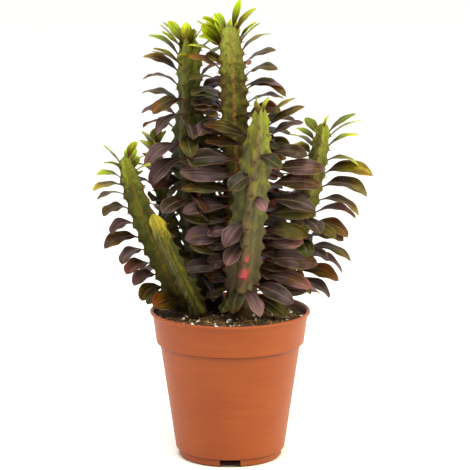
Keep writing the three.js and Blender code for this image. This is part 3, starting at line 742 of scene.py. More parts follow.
@dataclass(frozen=True)
class Stem:
    """One three-ribbed stem on a cubic curve, with a neck at the soil and one or two seasons' growth.

    Spacing is the gap between leaf nodes, azimuth the first rib's, and neck the radius at the soil, which
    opens over neck_share of the length. Each season is the share of the length at which it ends and its full
    rib radius. Taper is how far the last one narrows and the power of that, and waist the same for the one
    before. Dense adds inner leaves: a rib, the share of the length at which they end, their swing and how
    many lie between two nodes. Leaves turn from old to young between the two shares in ripe.
    """

    name: str
    curve: tuple[Triple, ...]
    spacing: float
    azimuth: float
    neck: float
    seasons: tuple[tuple[float, float], ...]
    taper: tuple[float, float]
    ribs: tuple[Rib, ...]
    strays: tuple[Stray, ...]
    skin: SucculentSkin
    dense: tuple[tuple[int, float, float, int], ...] = ()
    ripe: tuple[float, float] = (0.78, 0.97)
    neck_share: float = 0.2
    waist: tuple[float, float] = (0.4, 10)
    groove_depth: float = 0.47
    wing_power: float = 2.4
    tip_rise: float = 3.0
    rows_per_node: int = 8
    sides: int = 60

    @property
    def count(self) -> int:
        """The number of leaf nodes: half the sum of the curve's polygon and chord, over the spacing.

        Returns:
            The number, rounded.
        """
        corners = np.array(self.curve, float)
        around = np.linalg.norm(np.diff(corners, axis=0), axis=1).sum()
        length = (around + np.linalg.norm(corners[3] - corners[0])) / 2
        return int(length / self.spacing + 0.5)

    def line(self, share: Values) -> np.ndarray:
        """Points of the cubic curve: the corners weighed by (1-s)^3, 3s(1-s)^2, 3s^2(1-s) and s^3.

        Args:
            share: shares of the stem's length.

        Returns:
            The points.
        """
        s = np.asarray(share, float)[..., None]
        a, b, c, d = np.array(self.curve, float)
        return (1 - s) ** 3 * a + 3 * s * (1 - s) ** 2 * b + 3 * s**2 * (1 - s) * c + s**3 * d

    def tangent(self, share: Values) -> np.ndarray:
        """The curve's direction: its sides weighed by (1-s)^2, 2s(1-s) and s^2, at length 1.

        Args:
            share: shares of the stem's length.

        Returns:
            The directions.
        """
        s = np.asarray(share, float)[..., None]
        a, b, c, d = np.array(self.curve, float)
        return unit((1 - s) ** 2 * (b - a) + 2 * s * (1 - s) * (c - b) + s**2 * (d - c))

    def radius(self, share: Values) -> np.ndarray:
        """The rib radius: each season swells from the last one's waist, and narrows as 1 - a * s ** p.

        Args:
            share: shares of the stem's length.

        Returns:
            The radii in millimetres.
        """
        share = np.asarray(share, float)
        result = np.zeros_like(share)
        start = 0.0
        before = self.neck
        for i, (end, full) in enumerate(self.seasons):
            amount, power = self.taper if i == len(self.seasons) - 1 else self.waist
            within = (share - start) / (end - start)
            narrowed = full * (1 - amount * np.clip(within, 0, None) ** power)
            rise = self.neck_share if i == 0 else self.neck_share / (end - start) / 2
            value = mix(np.minimum(before, narrowed), narrowed, ease(within, 0, rise))
            result = np.where(share > start if i else share >= start, value, result)
            start, before = end, full * (1 - self.waist[0])
        return result

    def axes(self, share: Values) -> tuple[np.ndarray, np.ndarray]:
        """Two directions square to the curve: X with its part along the curve taken off, and the other.

        Args:
            share: shares of the stem's length.

        Returns:
            The first and the second direction.
        """
        tangent = self.tangent(share)
        side = unit(ACROSS - tangent * tangent[..., :1])
        return side, np.cross(tangent, side)

    def skin_point(self, share: Values, angle: Values, reach: Values) -> np.ndarray:
        """Points off the curve by reach times the rib radius, at an angle from the first axis.

        Args:
            share: shares of the stem's length.
            angle: angles in degrees, from the first axis towards the second.
            reach: how far out, as a share of the rib radius.

        Returns:
            The points.
        """
        side, depth = self.axes(share)
        turn = np.radians(angle)
        radius = (self.radius(share) * reach)[..., None]
        return self.line(share) + radius * (np.cos(turn)[..., None] * side + np.sin(turn)[..., None] * depth)

    def crest(self, rib: np.ndarray | int, share: Values) -> np.ndarray:
        """How far a crest stands out: 1 + a * cos(2 * pi * (nodes - phase)), most at each node.

        Args:
            rib: the ribs' numbers.
            share: shares of the stem's length.

        Returns:
            The reach, as a share of the rib radius.
        """
        phase = np.asarray(RIB_PHASE)[rib]
        return 1 + CREST_SWELL * np.cos(2 * np.pi * (self.count * np.asarray(share) - phase))


# What a leaf in another's way tries in turn: its turn sideways, its lift and its share of the length
DODGES = (
    (0, 0, 1),
    (14, 0, 1),
    (-14, 0, 1),
    (0, 16, 1),
    (0, -16, 1),
    (24, 10, 0.9),
    (-24, 10, 0.9),
    (0, 0, 0.75),
    (30, 0, 0.75),
    (-30, 0, 0.75),
    (0, 28, 0.75),
    (50, 0, 0.6),
    (-50, 0, 0.6),
    (0, 40, 0.6),
)

LEAF_NUMBERS = ("heading", "lift", "rest", "roll", "length", "width")


@dataclass(frozen=True)
class Layout:
    """Where the leaves go: the rules that set each leaf by its rib and keep stems' leaves apart.

    Scatter is how far a leaf's heading, lift, rest, roll, length and width may stray, the last two as shares.
    From crown_start on, the leaves go over to the crown's slopes and shares of the size. The crown's nodes
    are counted down from the tip. The stations are the shares of a leaf's length at which it is tested, and
    the width stations and shares give its rough outline. Leaves further apart than near_lengths of the usual
    length aren't compared.
    """

    length: float = 49
    width: float = 19.5
    root_depth: float = 3.5
    fold: float = 14
    crown_start: float = 0.72
    crown_lift: float = 64
    crown_rest: float = 34
    crown_length: float = 0.74
    crown_width: float = 0.62
    scatter: tuple[float, ...] = (15, 8, 14, 18, 0.18, 0.14)
    roll_reach: float = 0.4
    stray_reach: float = 0.4
    crown_nodes: tuple[float, ...] = (0, 0.5, 1, 1.5)
    near_lengths: float = 3
    leaf_clearance: float = 5.5
    stem_clearance: float = 2
    soil_clearance: float = 4
    body_step: float = 0.02
    stations: tuple[float, ...] = (0.28, 0.4, 0.52, 0.64, 0.76, 0.88, 1)
    width_stations: tuple[float, ...] = (0, 0.12, 0.38, 0.72, 1)
    width_shares: tuple[float, ...] = (0.11, 0.14, 0.88, 0.94, 0)
    inner_clearance: float = 2.2
    inner_length: float = 0.8
    stem_seed: int = 1009
    rib_seed: int = 211
    node_seed: int = 18

    def plan_leaf(self, stem: Stem, index: int, rib: int, node: float, dodge: tuple) -> Leaf | None:
        """One rib leaf, from its rib's settings and its own seeded draws.

        Args:
            stem: the stem, the index-th in the plant.
            index: the stem's number.
            rib: the rib's number.
            node: the leaf node's number, counted from the soil.
            dodge: extra turn, extra lift and share of the length.

        Returns:
            The leaf, or None where the rib carries none.
        """
        turn, lift, share = dodge
        rule = stem.ribs[rib]
        seed = int(1 + index * self.stem_seed + rib * self.rib_seed + node * self.node_seed)
        draws = Draws(seed)
        along = (node + RIB_PHASE[rib]) / stem.count
        if along < rule.start or along > min(rule.end, 1) or draws.next() / 2 + 0.5 < rule.bare:
            return None
        crown = float(ease(along, self.crown_start, 1))
        crest = stem.skin_point(along, stem.azimuth + rib * RIB_TURN, stem.crest(rib, along))
        outward = unit(crest - stem.line(along))
        azimuth = np.degrees(np.arctan2(outward[1], outward[0]))
        scatter = [amount * draws.next() for amount in self.scatter]
        return Leaf(
            root=crest - outward * self.root_depth,
            heading=azimuth + rule.turn + turn + scatter[0],
            lift=mix(rule.lift, self.crown_lift, crown * crown) + scatter[1] + lift,
            rest=mix(rule.rest, self.crown_rest, crown * crown) + scatter[2] + lift,
            roll=mix(rule.roll, 0, crown) + scatter[3],
            length=self.length * rule.length * share * mix(1, self.crown_length, crown) * (1 + scatter[4]),
            width=self.width * mix(1, self.crown_width, crown) * (1 + scatter[5]) * np.sqrt(share),
            age=1 - float(ease(along, *stem.ripe)),
            seed=seed,
        )

    def plan_stray(self, stem: Stem, stray: Stray, dodge: tuple) -> Leaf:
        """A stray leaf.

        Args:
            stem: the stem that it stands on.
            stray: its settings.
            dodge: extra turn, extra lift and share of the length.

        Returns:
            The leaf.
        """
        turn, lift, share = dodge
        return Leaf(
            root=stem.skin_point(stray.along, stray.angle, self.stray_reach),
            heading=stray.heading + turn,
            lift=stray.lift + lift,
            rest=stray.rest + lift,
            roll=stray.roll,
            length=stray.length * share,
            width=stray.width * np.sqrt(share),
            age=1 - float(ease(stray.along, *stem.ripe)),
            seed=int(stray.along * self.stem_seed) + int(stray.length),
        )

    def frames(self, leaves: list[Leaf], share: np.ndarray) -> tuple[np.ndarray, np.ndarray, np.ndarray]:
        """Midribs as arcs whose slope runs evenly from lift to rest.

        Args:
            leaves: m leaves.
            share: n shares of their length.

        Returns:
            The midrib points, side directions and face directions, each (m, n, 3).
        """
        values = {name: np.array([[getattr(leaf, name)] for leaf in leaves]) for name in LEAF_NUMBERS}
        lift = np.radians(values["lift"])
        bend = np.radians(values["rest"]) - lift
        slope = lift + bend * share
        ahead = level(values["heading"])
        left = level(values["heading"] + 90)
        out = (values["length"] * (np.sin(slope) - np.sin(lift)) / bend)[..., None]
        rise = (values["length"] * (np.cos(lift) - np.cos(slope)) / bend)[..., None]
        point = np.array([leaf.root for leaf in leaves])[:, None] + ahead * out + UP * rise
        face = UP * np.cos(slope)[..., None] - ahead * np.sin(slope)[..., None]
        roll = (np.radians(values["roll"]) * ease(share, 0, self.roll_reach))[..., None]
        side = left * np.cos(roll) + face * np.sin(roll)
        return point, side, face * np.cos(roll) - left * np.sin(roll)

    def samples(self, leaf: Leaf) -> np.ndarray:
        """The points at which a leaf is tested.

        Args:
            leaf: the leaf.

        Returns:
            Points on its two edges and its midrib, (n, 3).
        """
        share = np.array(self.stations)
        point, side, face = (part[0] for part in self.frames([leaf], share))
        half = (leaf.width * np.interp(share, self.width_stations, self.width_shares) / 2)[:, None]
        fold = np.radians(self.fold)
        raised = point + face * half * np.sin(fold)
        across = side * half * np.cos(fold)
        return np.concatenate([raised - across, point, raised + across])

    def is_clear(
        self, marks: np.ndarray, index: int, bodies: list[tuple], placed: list[tuple], clearance: float
    ) -> bool:
        """Whether a leaf stays clear of the soil, the lip, the other stems and their leaves.

        Args:
            marks: the leaf's samples.
            index: its stem's number.
            bodies: each stem's centre points and radii.
            placed: the leaves so far, as stem number, leaf and samples.
            clearance: the least gap to another stem's leaves.

        Returns:
            True where it is clear.
        """
        reach = np.hypot(marks[:, 0], marks[:, 1])
        floor = np.where(reach > COLLAR_FOOT_RADIUS, POT_HEIGHT, SOIL_LEVEL) + self.soil_clearance
        if np.any((reach < LIP_RADIUS + self.soil_clearance) & (marks[:, 2] < floor)):
            return False
        for other, (centres, radii) in enumerate(bodies):
            apart = np.linalg.norm(marks[:, None] - centres, axis=2)
            if other != index and np.any(apart < radii):
                return False
        for other, _, taken in placed:
            near = other != index and np.linalg.norm(taken[0] - marks[0]) < self.near_lengths * self.length
            if near and np.linalg.norm(marks[:, None] - taken, axis=2).min() < clearance:
                return False
        return True

    def place(self, stems: tuple[Stem, ...]) -> list[list[Leaf]]:
        """Sets every stem's leaves. Each takes its first pose that is clear, and one without any is left off.

        Args:
            stems: the stems.

        Returns:
            A list of leaves for each stem.
        """
        steps = np.arange(0, 1 + self.body_step / 2, self.body_step)
        bodies = [
            (stem.line(steps), stem.radius(steps) * (1 + CREST_SWELL) + self.stem_clearance) for stem in stems
        ]
        placed: list[tuple[int, Leaf, np.ndarray]] = []
        for index, stem in enumerate(stems):
            plans = [lambda dodge, stray=stray: self.plan_stray(stem, stray, dodge) for stray in stem.strays]
            lower = range(stem.count - 2, 0, -1)
            nodes = [stem.count - below for below in self.crown_nodes] + list(lower)
            plans += [
                lambda dodge, rib=rib, node=node: self.plan_leaf(stem, index, rib, node, dodge)
                for rib in range(len(stem.ribs))
                for node in nodes
            ]
            self.try_plans(plans, index, bodies, placed, self.leaf_clearance)
        # The whole nodes already have their leaves, so the inner ones go between
        for index, stem in enumerate(stems):
            plans = [
                lambda dodge, rib=rib, node=node, turn=turn: (
                    self.plan_inner(stem, index, rib, node, (dodge[0] + turn, *dodge[1:]))
                )
                for rib, end, turn, between in stem.dense
                for node in np.arange(int(stem.count * end) - 1 / (between + 1), 1, -1 / (between + 1))
                if abs(node - round(node)) > 0.1
            ]
            self.try_plans(plans, index, bodies, placed, self.inner_clearance)
        return [[leaf for owner, leaf, _ in placed if owner == index] for index in range(len(stems))]

    def plan_inner(self, stem: Stem, index: int, rib: int, node: float, dodge: tuple) -> Leaf | None:
        """A rib leaf between two nodes, made shorter. Its arguments are those of plan_leaf."""
        leaf = self.plan_leaf(stem, index, rib, node, dodge)
        return leaf and replace(leaf, length=leaf.length * self.inner_length)

    def try_plans(self, plans: list, index: int, bodies: list, placed: list, clearance: float) -> None:
        """Adds each plan's first pose that is clear.

        Args:
            plans: functions that give a leaf for a dodge.
            index: the stem's number.
            bodies: each stem's centre points and radii.
            placed: the leaves so far, which this adds to.
            clearance: the least gap to another stem's leaves.
        """
        for plan in plans:
            for dodge in DODGES:
                leaf = plan(dodge)
                if leaf is None:
                    break
                marks = self.samples(leaf)
                if self.is_clear(marks, index, bodies, placed, clearance):
                    placed.append((index, leaf, marks))
                    break


@dataclass(frozen=True)
class Foliage:
    """The leaves' fine form: a stalk, then a blade that is widest past its middle, folded, cupped and waved.

    Powers shape the blade's outline, and the fold, the cup and the wave each vary from leaf to leaf. Young
    leaves are calmer. Shares are of the leaf's length.
    """

    layout: Layout
    rows: int = 18
    sides: int = 16
    stalk_end: float = 0.08
    stalk_width: float = 1.7
    base_power: float = 1.0
    tip_power: float = 0.74
    stalk_thickness: float = 1.6
    blade_thickness: float = 0.8
    cup: float = 0.1
    cup_shift: float = 0.6
    wave: float = 0.13
    waves: float = 2.3
    wave_shift: float = 2.0
    young_wave: float = 0.35
    fold_spread: float = 0.5
    fold_softness: float = 0.03
    thin_from: float = 0.3
    open_from: float = 0.4
    point_from: float = 0.9
    age_spread: float = 0.12
    young_age: float = 0.3
    tone_spread: float = 0.45

    def width_share(self, share: np.ndarray) -> np.ndarray:
        """The blade's width over its greatest: t ** a * (1 - t) ** b over that term's own greatest value.

        Args:
            share: shares of the leaf's length.

        Returns:
            The width at each, from 0 to 1.
        """
        t = np.clip((share - self.stalk_end) / (1 - self.stalk_end), 0, 1)
        peak = self.base_power / (self.base_power + self.tip_power)
        most = peak**self.base_power * (1 - peak) ** self.tip_power
        return t**self.base_power * (1 - t) ** self.tip_power / most

    def surface(self, leaves: list[Leaf]) -> Surface:
        """All of one stem's leaves as one surface.

        Each leaf is a flat oval carried along its midrib: at angle w round the oval, the reach across is
        cos(w) times the half width, and the height is sin(w) times the half thickness, plus the fold and the
        cup, which grow with the reach, and a wave that runs along the margin.

        Args:
            leaves: the stem's leaves.

        Returns:
            The surface, with the attributes place and tone.
        """
        share = np.linspace(0, 1, self.rows + 1)
        turn = 2 * np.pi * np.arange(self.sides) / self.sides
        point, side, face = self.layout.frames(leaves, share)
        rng = np.random.default_rng([leaf.seed for leaf in leaves] + [len(leaves)])
        draws = rng.uniform(-1, 1, (len(leaves), 5))
        width = np.array([leaf.width for leaf in leaves])[:, None]
        half = np.maximum(width * self.width_share(share), self.stalk_width * (share < self.point_from)) / 2
        half[:, -1] = 0
        thinned = ease(share, self.stalk_end, self.thin_from)
        thick = mix(self.stalk_thickness, self.blade_thickness, thinned) / 2
        reach = np.cos(turn)
        bent = np.sqrt(reach**2 + self.fold_softness) - np.sqrt(self.fold_softness)
        fold = np.sin(np.radians(self.layout.fold)) * (1 + self.fold_spread * draws[:, 0])
        cup = self.cup * (draws[:, 1] - self.cup_shift)
        blade = ease(share, self.stalk_end, self.open_from)
        phase = 2 * np.pi * (self.waves * share[None, :, None] + draws[:, 2, None, None])
        strength = np.array([self.wave * mix(self.young_wave, 1, leaf.age) for leaf in leaves])[:, None, None]
        shift = np.sign(reach) * draws[:, 3, None, None] * self.wave_shift
        wave = strength * np.sin(phase + shift) * reach**2
        lifted = (fold[:, None] * bent + cup[:, None] * reach**4)[:, None, :] + wave
        height = half[..., None] * blade[None, :, None] * lifted
        height = height + (thick[:, None] * np.sin(turn))[None]
        height[:, -1] = height[:, -1].mean(axis=-1, keepdims=True)
        across = half[..., None] * reach * np.cos(np.radians(self.layout.fold))
        rings = point[:, :, None] + side[:, :, None] * across[..., None]
        rings = rings + face[:, :, None] * height[..., None]
        faces = tube_faces(self.rows, self.sides)
        result = Surface()
        below = np.broadcast_to(ease(-np.sin(turn), -0.05, 0.05), (self.rows + 1, self.sides))
        for i, leaf in enumerate(leaves):
            body = rings[i, : self.rows].reshape(-1, 3)
            points = np.concatenate([body, rings[i, -1:, 0]])
            place = np.stack(
                [
                    np.repeat(share, self.sides)[: len(points)],
                    np.tile(reach, self.rows + 1)[: len(points)],
                    np.full(len(points), leaf.length),
                ],
                axis=1,
            )
            age = np.clip(leaf.age + self.age_spread * draws[i, 4] * (leaf.age > self.young_age), 0, 1)
            drawn = 0.5 + self.tone_spread * draws[i, 0]
            tone = np.stack(
                [np.full(len(points), age), np.full(len(points), drawn), below.ravel()[: len(points)]], axis=1
            )
            result.add(points, faces, place=place, tone=tone)
        return result


@dataclass(frozen=True)
class StemForm:
    """The stems' fine form: winged ribs with a knob at each leaf node, and thorns in pairs.

    The knobs and the faces' relief are shares of the rib radius. A scar fades over scar_edge, and each of
    scar_waves is how far its outline waves and how many times round. Thorns stand thorn_drop of a node's gap
    below it, turned thorn_spread degrees to either side of the crest.
    """

    knob: float = 0.07
    knob_power: int = 8
    face_relief: float = 0.035
    relief_slant: float = 2.0
    dome_power: float = 2.4
    scar_edge: float = 0.15
    scar_waves: tuple[tuple[float, int], ...] = ((0.25, 5), (0.15, 9))
    thorn_length: float = 4.6
    thorn_radius: float = 0.75
    thorn_sink: float = 1.4
    thorn_spread: float = 35
    thorn_lift: float = 0.25
    thorn_drop: float = 0.18
    thorn_sides: int = 5

    def skin(self, stem: Stem, scars: tuple[tuple[float, float, float, float], ...]) -> Surface:
        """The skin as a grid: angle round the stem by share of its length.

        Off a crest by f, the share of the way to the groove, the reach is groove + (crest - groove) * w,
        where w = (0.5 + 0.5 * cos(pi * f)) ** wing_power. The last half node closes as a dome.

        Args:
            stem: the stem.
            scars: each a share of the length, an angle, and the half height and half width in millimetres.

        Returns:
            The surface, with the attributes place and tone.
        """
        rows = stem.rows_per_node * stem.count
        share = np.linspace(0, 1, rows + 1)[:, None]
        turn = (360 * np.arange(stem.sides) / stem.sides)[None, :]
        sector = np.rint(turn / RIB_TURN).astype(int)
        off = np.abs(turn - sector * RIB_TURN) / (RIB_TURN / 2)
        rib = sector % RIBS
        shape = (0.5 + 0.5 * np.cos(np.pi * off)) ** stem.wing_power
        opened = ease(share, 0, stem.neck_share)
        nodes = stem.count * share - np.asarray(RIB_PHASE)[rib]
        beat = np.cos(2 * np.pi * nodes)
        crest = stem.crest(rib, share) + self.knob * np.maximum(beat, 0) ** self.knob_power * opened
        groove = mix(1, stem.groove_depth, opened)
        swell = self.face_relief * np.sin(2 * np.pi * nodes - self.relief_slant * off) * off * (1 - off) * 4
        reach = groove + (crest - groove) * shape + swell * opened
        dome = np.clip((share - (1 - 0.5 / stem.count)) * 2 * stem.count, 0, 1)
        reach = reach * np.sqrt(np.clip(1 - dome**self.dome_power, 0, 1))
        wide = np.broadcast_to(share, reach.shape)
        rings = stem.skin_point(wide, stem.azimuth + turn, reach)
        rings = rings + stem.tangent(wide) * (stem.tip_rise * dome**2)[..., None]
        foot = stem.line(0.0) * [1, 1, 0] + UP * BURIED_BOTTOM + stem.neck * level(stem.azimuth + turn[0])
        body = np.concatenate([foot[None], rings[:-1]])
        tip = stem.line(1.0) + stem.tangent(1.0) * stem.tip_rise
        points = np.concatenate([body.reshape(-1, 3), tip[None]])
        scarred = np.zeros(reach.shape)
        for along, angle, tall, broad in scars:
            rise = (share - along) * stem.count * stem.spacing / tall
            aside = (turn + stem.azimuth - angle + 180) % 360 - 180
            aside = np.radians(aside) * stem.radius(along) / broad
            ragged = sum(size * np.sin(times * np.arctan2(rise, aside)) for size, times in self.scar_waves)
            inside = -np.hypot(rise, aside) - ragged
            scarred = np.maximum(scarred, ease(inside, -1 - self.scar_edge, self.scar_edge - 1))
        place = np.stack([np.broadcast_to(part, reach.shape) for part in (off, nodes, share)], axis=-1)
        tone = np.stack([scarred, 0 * scarred, 0 * scarred], axis=-1)
        marks = {
            name: np.concatenate([values[:1].reshape(-1, 3), values[:-1].reshape(-1, 3), values[-1, :1]])
            for name, values in (("place", place), ("tone", tone))
        }
        result = Surface()
        result.add(points, tube_faces(rows + 1, stem.sides), **marks)
        return result

    def thorns(self, stem: Stem) -> Surface:
        """Two slim cones below each leaf node, spread to both sides of the crest.

        Args:
            stem: the stem.

        Returns:
            The surface, with the attribute place at 1 on the points.
        """
        result = Surface()
        faces = tube_faces(1, self.thorn_sides)
        for rib in range(RIBS):
            nodes = np.arange(1, stem.count)
            share = (nodes + RIB_PHASE[rib] - self.thorn_drop) / stem.count
            azimuth = np.full(share.shape, stem.azimuth + rib * RIB_TURN)
            crest = stem.skin_point(share, azimuth, stem.crest(rib, share))
            outward = unit(crest - stem.line(share))
            across = unit(np.cross(UP, outward))
            for hand in (-1, 1):
                spread = np.radians(self.thorn_spread)
                axis = unit(outward * np.cos(spread) + hand * across * np.sin(spread) + UP * self.thorn_lift)
                side = unit(np.cross(axis, UP))
                top = np.cross(side, axis)
                base = crest - outward * self.thorn_sink
                turn = 2 * np.pi * np.arange(self.thorn_sides) / self.thorn_sides
                ring = base[:, None] + self.thorn_radius * (
                    np.cos(turn)[:, None] * side[:, None] + np.sin(turn)[:, None] * top[:, None]
                )
                tips = base + axis * (self.thorn_length + self.thorn_sink)
                for i in range(len(nodes)):
                    points = np.concatenate([ring[i], tips[i : i + 1]])
                    place = np.zeros(points.shape)
                    place[-1] = 1
                    result.add(points, faces, place=place)
        return result


FRONT_SKIN = SucculentSkin(
    "front_stem_skin",
    low="#5e4436",
    middle="#4c4630",
    high="#727012",
    band="#6c6440",
    crest="#7c5a3c",
    moss="#36421a",
    lime="#8c9218",
)
OLD_SKIN = SucculentSkin(
    "old_stem_skin",
    low="#2e2a10",
    middle="#36340f",
    high="#747418",
    band="#4c4a18",
    crest="#4e3014",
    moss="#2c330c",
    lime="#5c6616",
)
TALL_SKIN = SucculentSkin(
    "tall_stem_skin",
    low="#332a0a",
    middle="#463a10",
    high="#767c14",
    band="#966a34",
    crest="#603410",
    moss="#363e0c",
    lime="#747c22",
    # The pale top is partly a painted sheen
    tip="#9aa244",
    band_edge=0.6,
    crest_reach=0.5,
)
RIGHT_SKIN = SucculentSkin(
    "right_stem_skin",
    low="#4a3618",
    middle="#4c461a",
    high="#6c6a1c",
    band="#70641e",
    crest="#8a7426",
    moss="#343c10",
    lime="#6a7016",
)
LEFT_SKIN = SucculentSkin(
    "left_stem_skin",
    low="#38330a",
    middle="#3e400c",
    high="#6c6e10",
    band="#745e16",
    crest="#5c3410",
    moss="#2c380a",
    lime="#5e6c12",
)
# The pup's skin: its low and middle colours are darkened partly as painted shade, under the leaves that hang
# over the pup's lower part
YOUNG_SKIN = SucculentSkin(
    "young_stem_skin",
    low="#161204",
    middle="#32320c",
    high="#8c8014",
    band="#706420",
    crest="#625a16",
    moss="#3c400c",
    lime="#747016",
    tip="#bca82e",
)

STEMS = (
    Stem(
        name="stem_front",
        curve=((11, -10, 154), (12, -34, 232), (25, -37, 300), (32, -28, 376)),
        spacing=18,
        azimuth=-92,
        neck=13,
        seasons=((1, 21),),
        taper=(0.68, 5),
        ribs=(
            Rib(1, 0, 12, -75, 25, 10, 0.7, 0),
            Rib(0.1, 0.97, 16, -24, 62, -12, 1.14, 0),
            Rib(0.1, 0.86, 14, -16, -62, 10, 1.14, 0),
        ),
        strays=(
            Stray(0.17, -95, -120, -40, -72, 0, 34, 21),
            Stray(0.16, -85, -55, -42, -72, 0, 42, 19),
            Stray(0.1, -150, -128, -10, -50, 0, 28, 17),
            Stray(0.15, 10, -25, 0, -35, 45, 54, 20),
            Stray(0.1, 20, -20, -10, -40, 40, 50, 20),
            Stray(0.39, -88, -150, -30, -64, -35, 36, 19),
            Stray(0.49, -85, -155, -30, -60, -35, 40, 21),
            Stray(0.6, -95, -40, -15, -60, 25, 25, 14),
            Stray(0.7, -72, -160, -5, -50, -40, 34, 20),
            Stray(0.79, -100, -20, -5, -45, 40, 32, 18),
            Stray(0.21, 30, 40, 0, -50, 40, 40, 22),
            Stray(0.13, 180, 168, 0, -40, -40, 36, 20),
            Stray(0.99, 200, 185, 70, 95, 0, 17, 8),
            Stray(0.97, -120, -130, 60, 85, 0, 17, 8),
            Stray(0.985, -50, -40, 70, 60, 0, 18, 9),
        ),
        skin=FRONT_SKIN,
        dense=((1, 0.5, 34, 1), (2, 0.5, -34, 1)),
        ripe=(0.84, 1.0),
    ),
    Stem(
        name="stem_back_left",
        curve=((-20, 33, 154), (-40, 20, 260), (-46, 14, 340), (-44, 20, 444)),
        spacing=15,
        azimuth=-104,
        neck=14,
        seasons=((0.74, 26), (1, 14.5)),
        taper=(0.3, 6),
        ribs=(
            Rib(0.12, 0.8, 4, -64, -25, -42, 0.9, 0.15),
            Rib(0.12, 1, 34, -30, 20, -10, 0.9, 0.1),
            Rib(0.12, 1, 44, -34, -10, 25, 1, 0.05),
        ),
        strays=(
            Stray(0.97, -100, -95, 76, 80, 0, 27, 13),
            Stray(0.975, 178, 176, 66, 48, -40, 30, 15),
            Stray(0.96, 190, 170, 50, 28, 25, 30, 16),
            Stray(0.9, 200, 178, 55, 8, 20, 38, 14),
            Stray(0.96, -30, -40, 80, 62, 50, 22, 11),
            Stray(0.98, -60, -70, 62, 52, 30, 20, 12),
            Stray(0.92, -104, -110, 48, 12, 20, 20, 11),
            Stray(0.73, -70, -28, 24, -18, 20, 40, 14),
            Stray(0.62, -60, -60, 10, -70, 0, 30, 17),
            Stray(0.63, -150, -155, 5, -75, 0, 32, 15),
            Stray(0.55, -150, -140, 0, -75, 0, 30, 14),
            Stray(0.48, -160, -165, 20, -40, -40, 36, 22),
            Stray(0.4, -140, -150, 0, -72, 0, 40, 19),
            Stray(0.3, -140, -150, 0, -70, 0, 40, 18),
            Stray(0.22, -130, -140, 0, -70, 0, 38, 18),
        ),
        skin=OLD_SKIN,
        dense=((0, 0.75, 80, 1), (1, 0.8, 0, 2), (2, 0.5, 0, 2)),
        ripe=(0.8, 0.95),
    ),
    Stem(
        name="stem_tall",
        curve=((8, 28, 154), (6, 12, 260), (8, 12, 360), (-1, 5, 456)),
        spacing=14,
        azimuth=-30,
        neck=12,
        seasons=((1, 16.5),),
        taper=(0.35, 8),
        ribs=(
            Rib(0.15, 1, 48, -28, 20, 14, 0.98, 0),
            Rib(0.2, 0.96, 36, -36, 0, 0, 1, 0.5),
            Rib(0.1, 1, 44, -28, -20, -10, 0.9, 0),
        ),
        strays=(
            Stray(0.99, 30, 40, 84, 62, 60, 33, 8),
            Stray(0.92, 205, 186, 54, 36, -60, 38, 20),
            Stray(0.95, 215, 202, 72, 60, -50, 34, 17),
            Stray(0.97, 170, 180, 76, 70, -50, 26, 10),
            Stray(0.86, 205, 200, 48, 14, -40, 28, 15),
            Stray(0.54, -40, -38, 30, -34, 45, 50, 20),
            Stray(0.68, -100, -20, 20, -20, 20, 40, 16),
            Stray(0.77, -30, -12, 48, -58, 20, 58, 18),
        ),
        skin=TALL_SKIN,
        dense=((0, 0.62, 0, 2), (1, 0.7, 0, 2), (2, 0.8, 0, 2)),
        ripe=(0.78, 0.95),
    ),
    Stem(
        name="stem_right",
        curve=((44, 26, 154), (64, 17, 212), (88, 12, 280), (98, 8, 354)),
        spacing=14,
        azimuth=-95,
        neck=10,
        seasons=((1, 13.5),),
        taper=(0.5, 6),
        ribs=(
            Rib(0.2, 0.8, 4, -70, 10, 30, 0.75, 0.2),
            Rib(0.05, 0.97, 34, -56, 25, -20, 1.05, 0),
            Rib(0.1, 1, 24, -36, 0, -20, 0.84, 0.1),
        ),
        strays=(
            Stray(0.98, -90, -60, 66, 50, 30, 20, 9),
            Stray(0.93, -90, -130, 60, 30, -30, 18, 10),
            Stray(0.5, -60, -35, 20, -50, 20, 44, 17),
            Stray(0.36, -60, -40, 10, -62, 20, 44, 17),
            Stray(0.2, -60, -50, 0, -60, 10, 46, 18),
        ),
        skin=RIGHT_SKIN,
        ripe=(0.4, 1.0),
        dense=((0, 0.5, 0, 1), (2, 0.7, 0, 2)),
    ),
    Stem(
        name="stem_left",
        curve=((-46, 16, 154), (-64, -8, 200), (-94, -22, 262), (-109, -20, 323)),
        spacing=15,
        azimuth=-36,
        neck=10,
        seasons=((1, 14.5),),
        taper=(0.5, 6),
        ribs=(
            Rib(0.9, 1, 20, -30, 0, 0, 0.6, 0),
            Rib(0.1, 1, 26, -46, 0, 10, 0.78, 0.1),
            Rib(0.05, 1, 34, -58, -20, 10, 0.8, 0),
        ),
        strays=(
            Stray(0.12, 200, 228, 0, -70, 0, 40, 20),
            Stray(0.12, -60, -132, -8, -28, -50, 46, 25),
        ),
        skin=LEFT_SKIN,
        dense=((0, 0.7, 0, 2), (1, 0.6, 0, 1)),
        ripe=(0.7, 0.92),
    ),
    Stem(
        name="stem_small",
        curve=((-47, 43, 154), (-58, 44, 215), (-73, 40, 275), (-81, 36, 331)),
        spacing=15,
        azimuth=-30,
        neck=7,
        seasons=((1, 10),),
        taper=(0.5, 6),
        ribs=(
            Rib(0.3, 1, 30, -20, 0, 0, 0.6, 0.3),
            Rib(0.2, 1, 30, -36, 0, 0, 0.8, 0.1),
            Rib(0.2, 1, 34, -30, -10, 20, 0.85, 0),
        ),
        strays=(),
        skin=replace(LEFT_SKIN, name="small_stem_skin"),
        dense=((0, 0.7, 0, 2), (1, 0.7, 0, 1)),
    ),
    Stem(
        name="stem_pup",
        curve=((-32, -10, 154), (-44, -36, 185), (-60, -43, 220), (-79, -42, 266)),
        spacing=15,
        azimuth=-90,
        neck=8,
        seasons=((0.46, 11.4), (1, 9.8)),
        taper=(0.35, 8),
        ribs=(),
        strays=(),
        skin=YOUNG_SKIN,
    ),
)

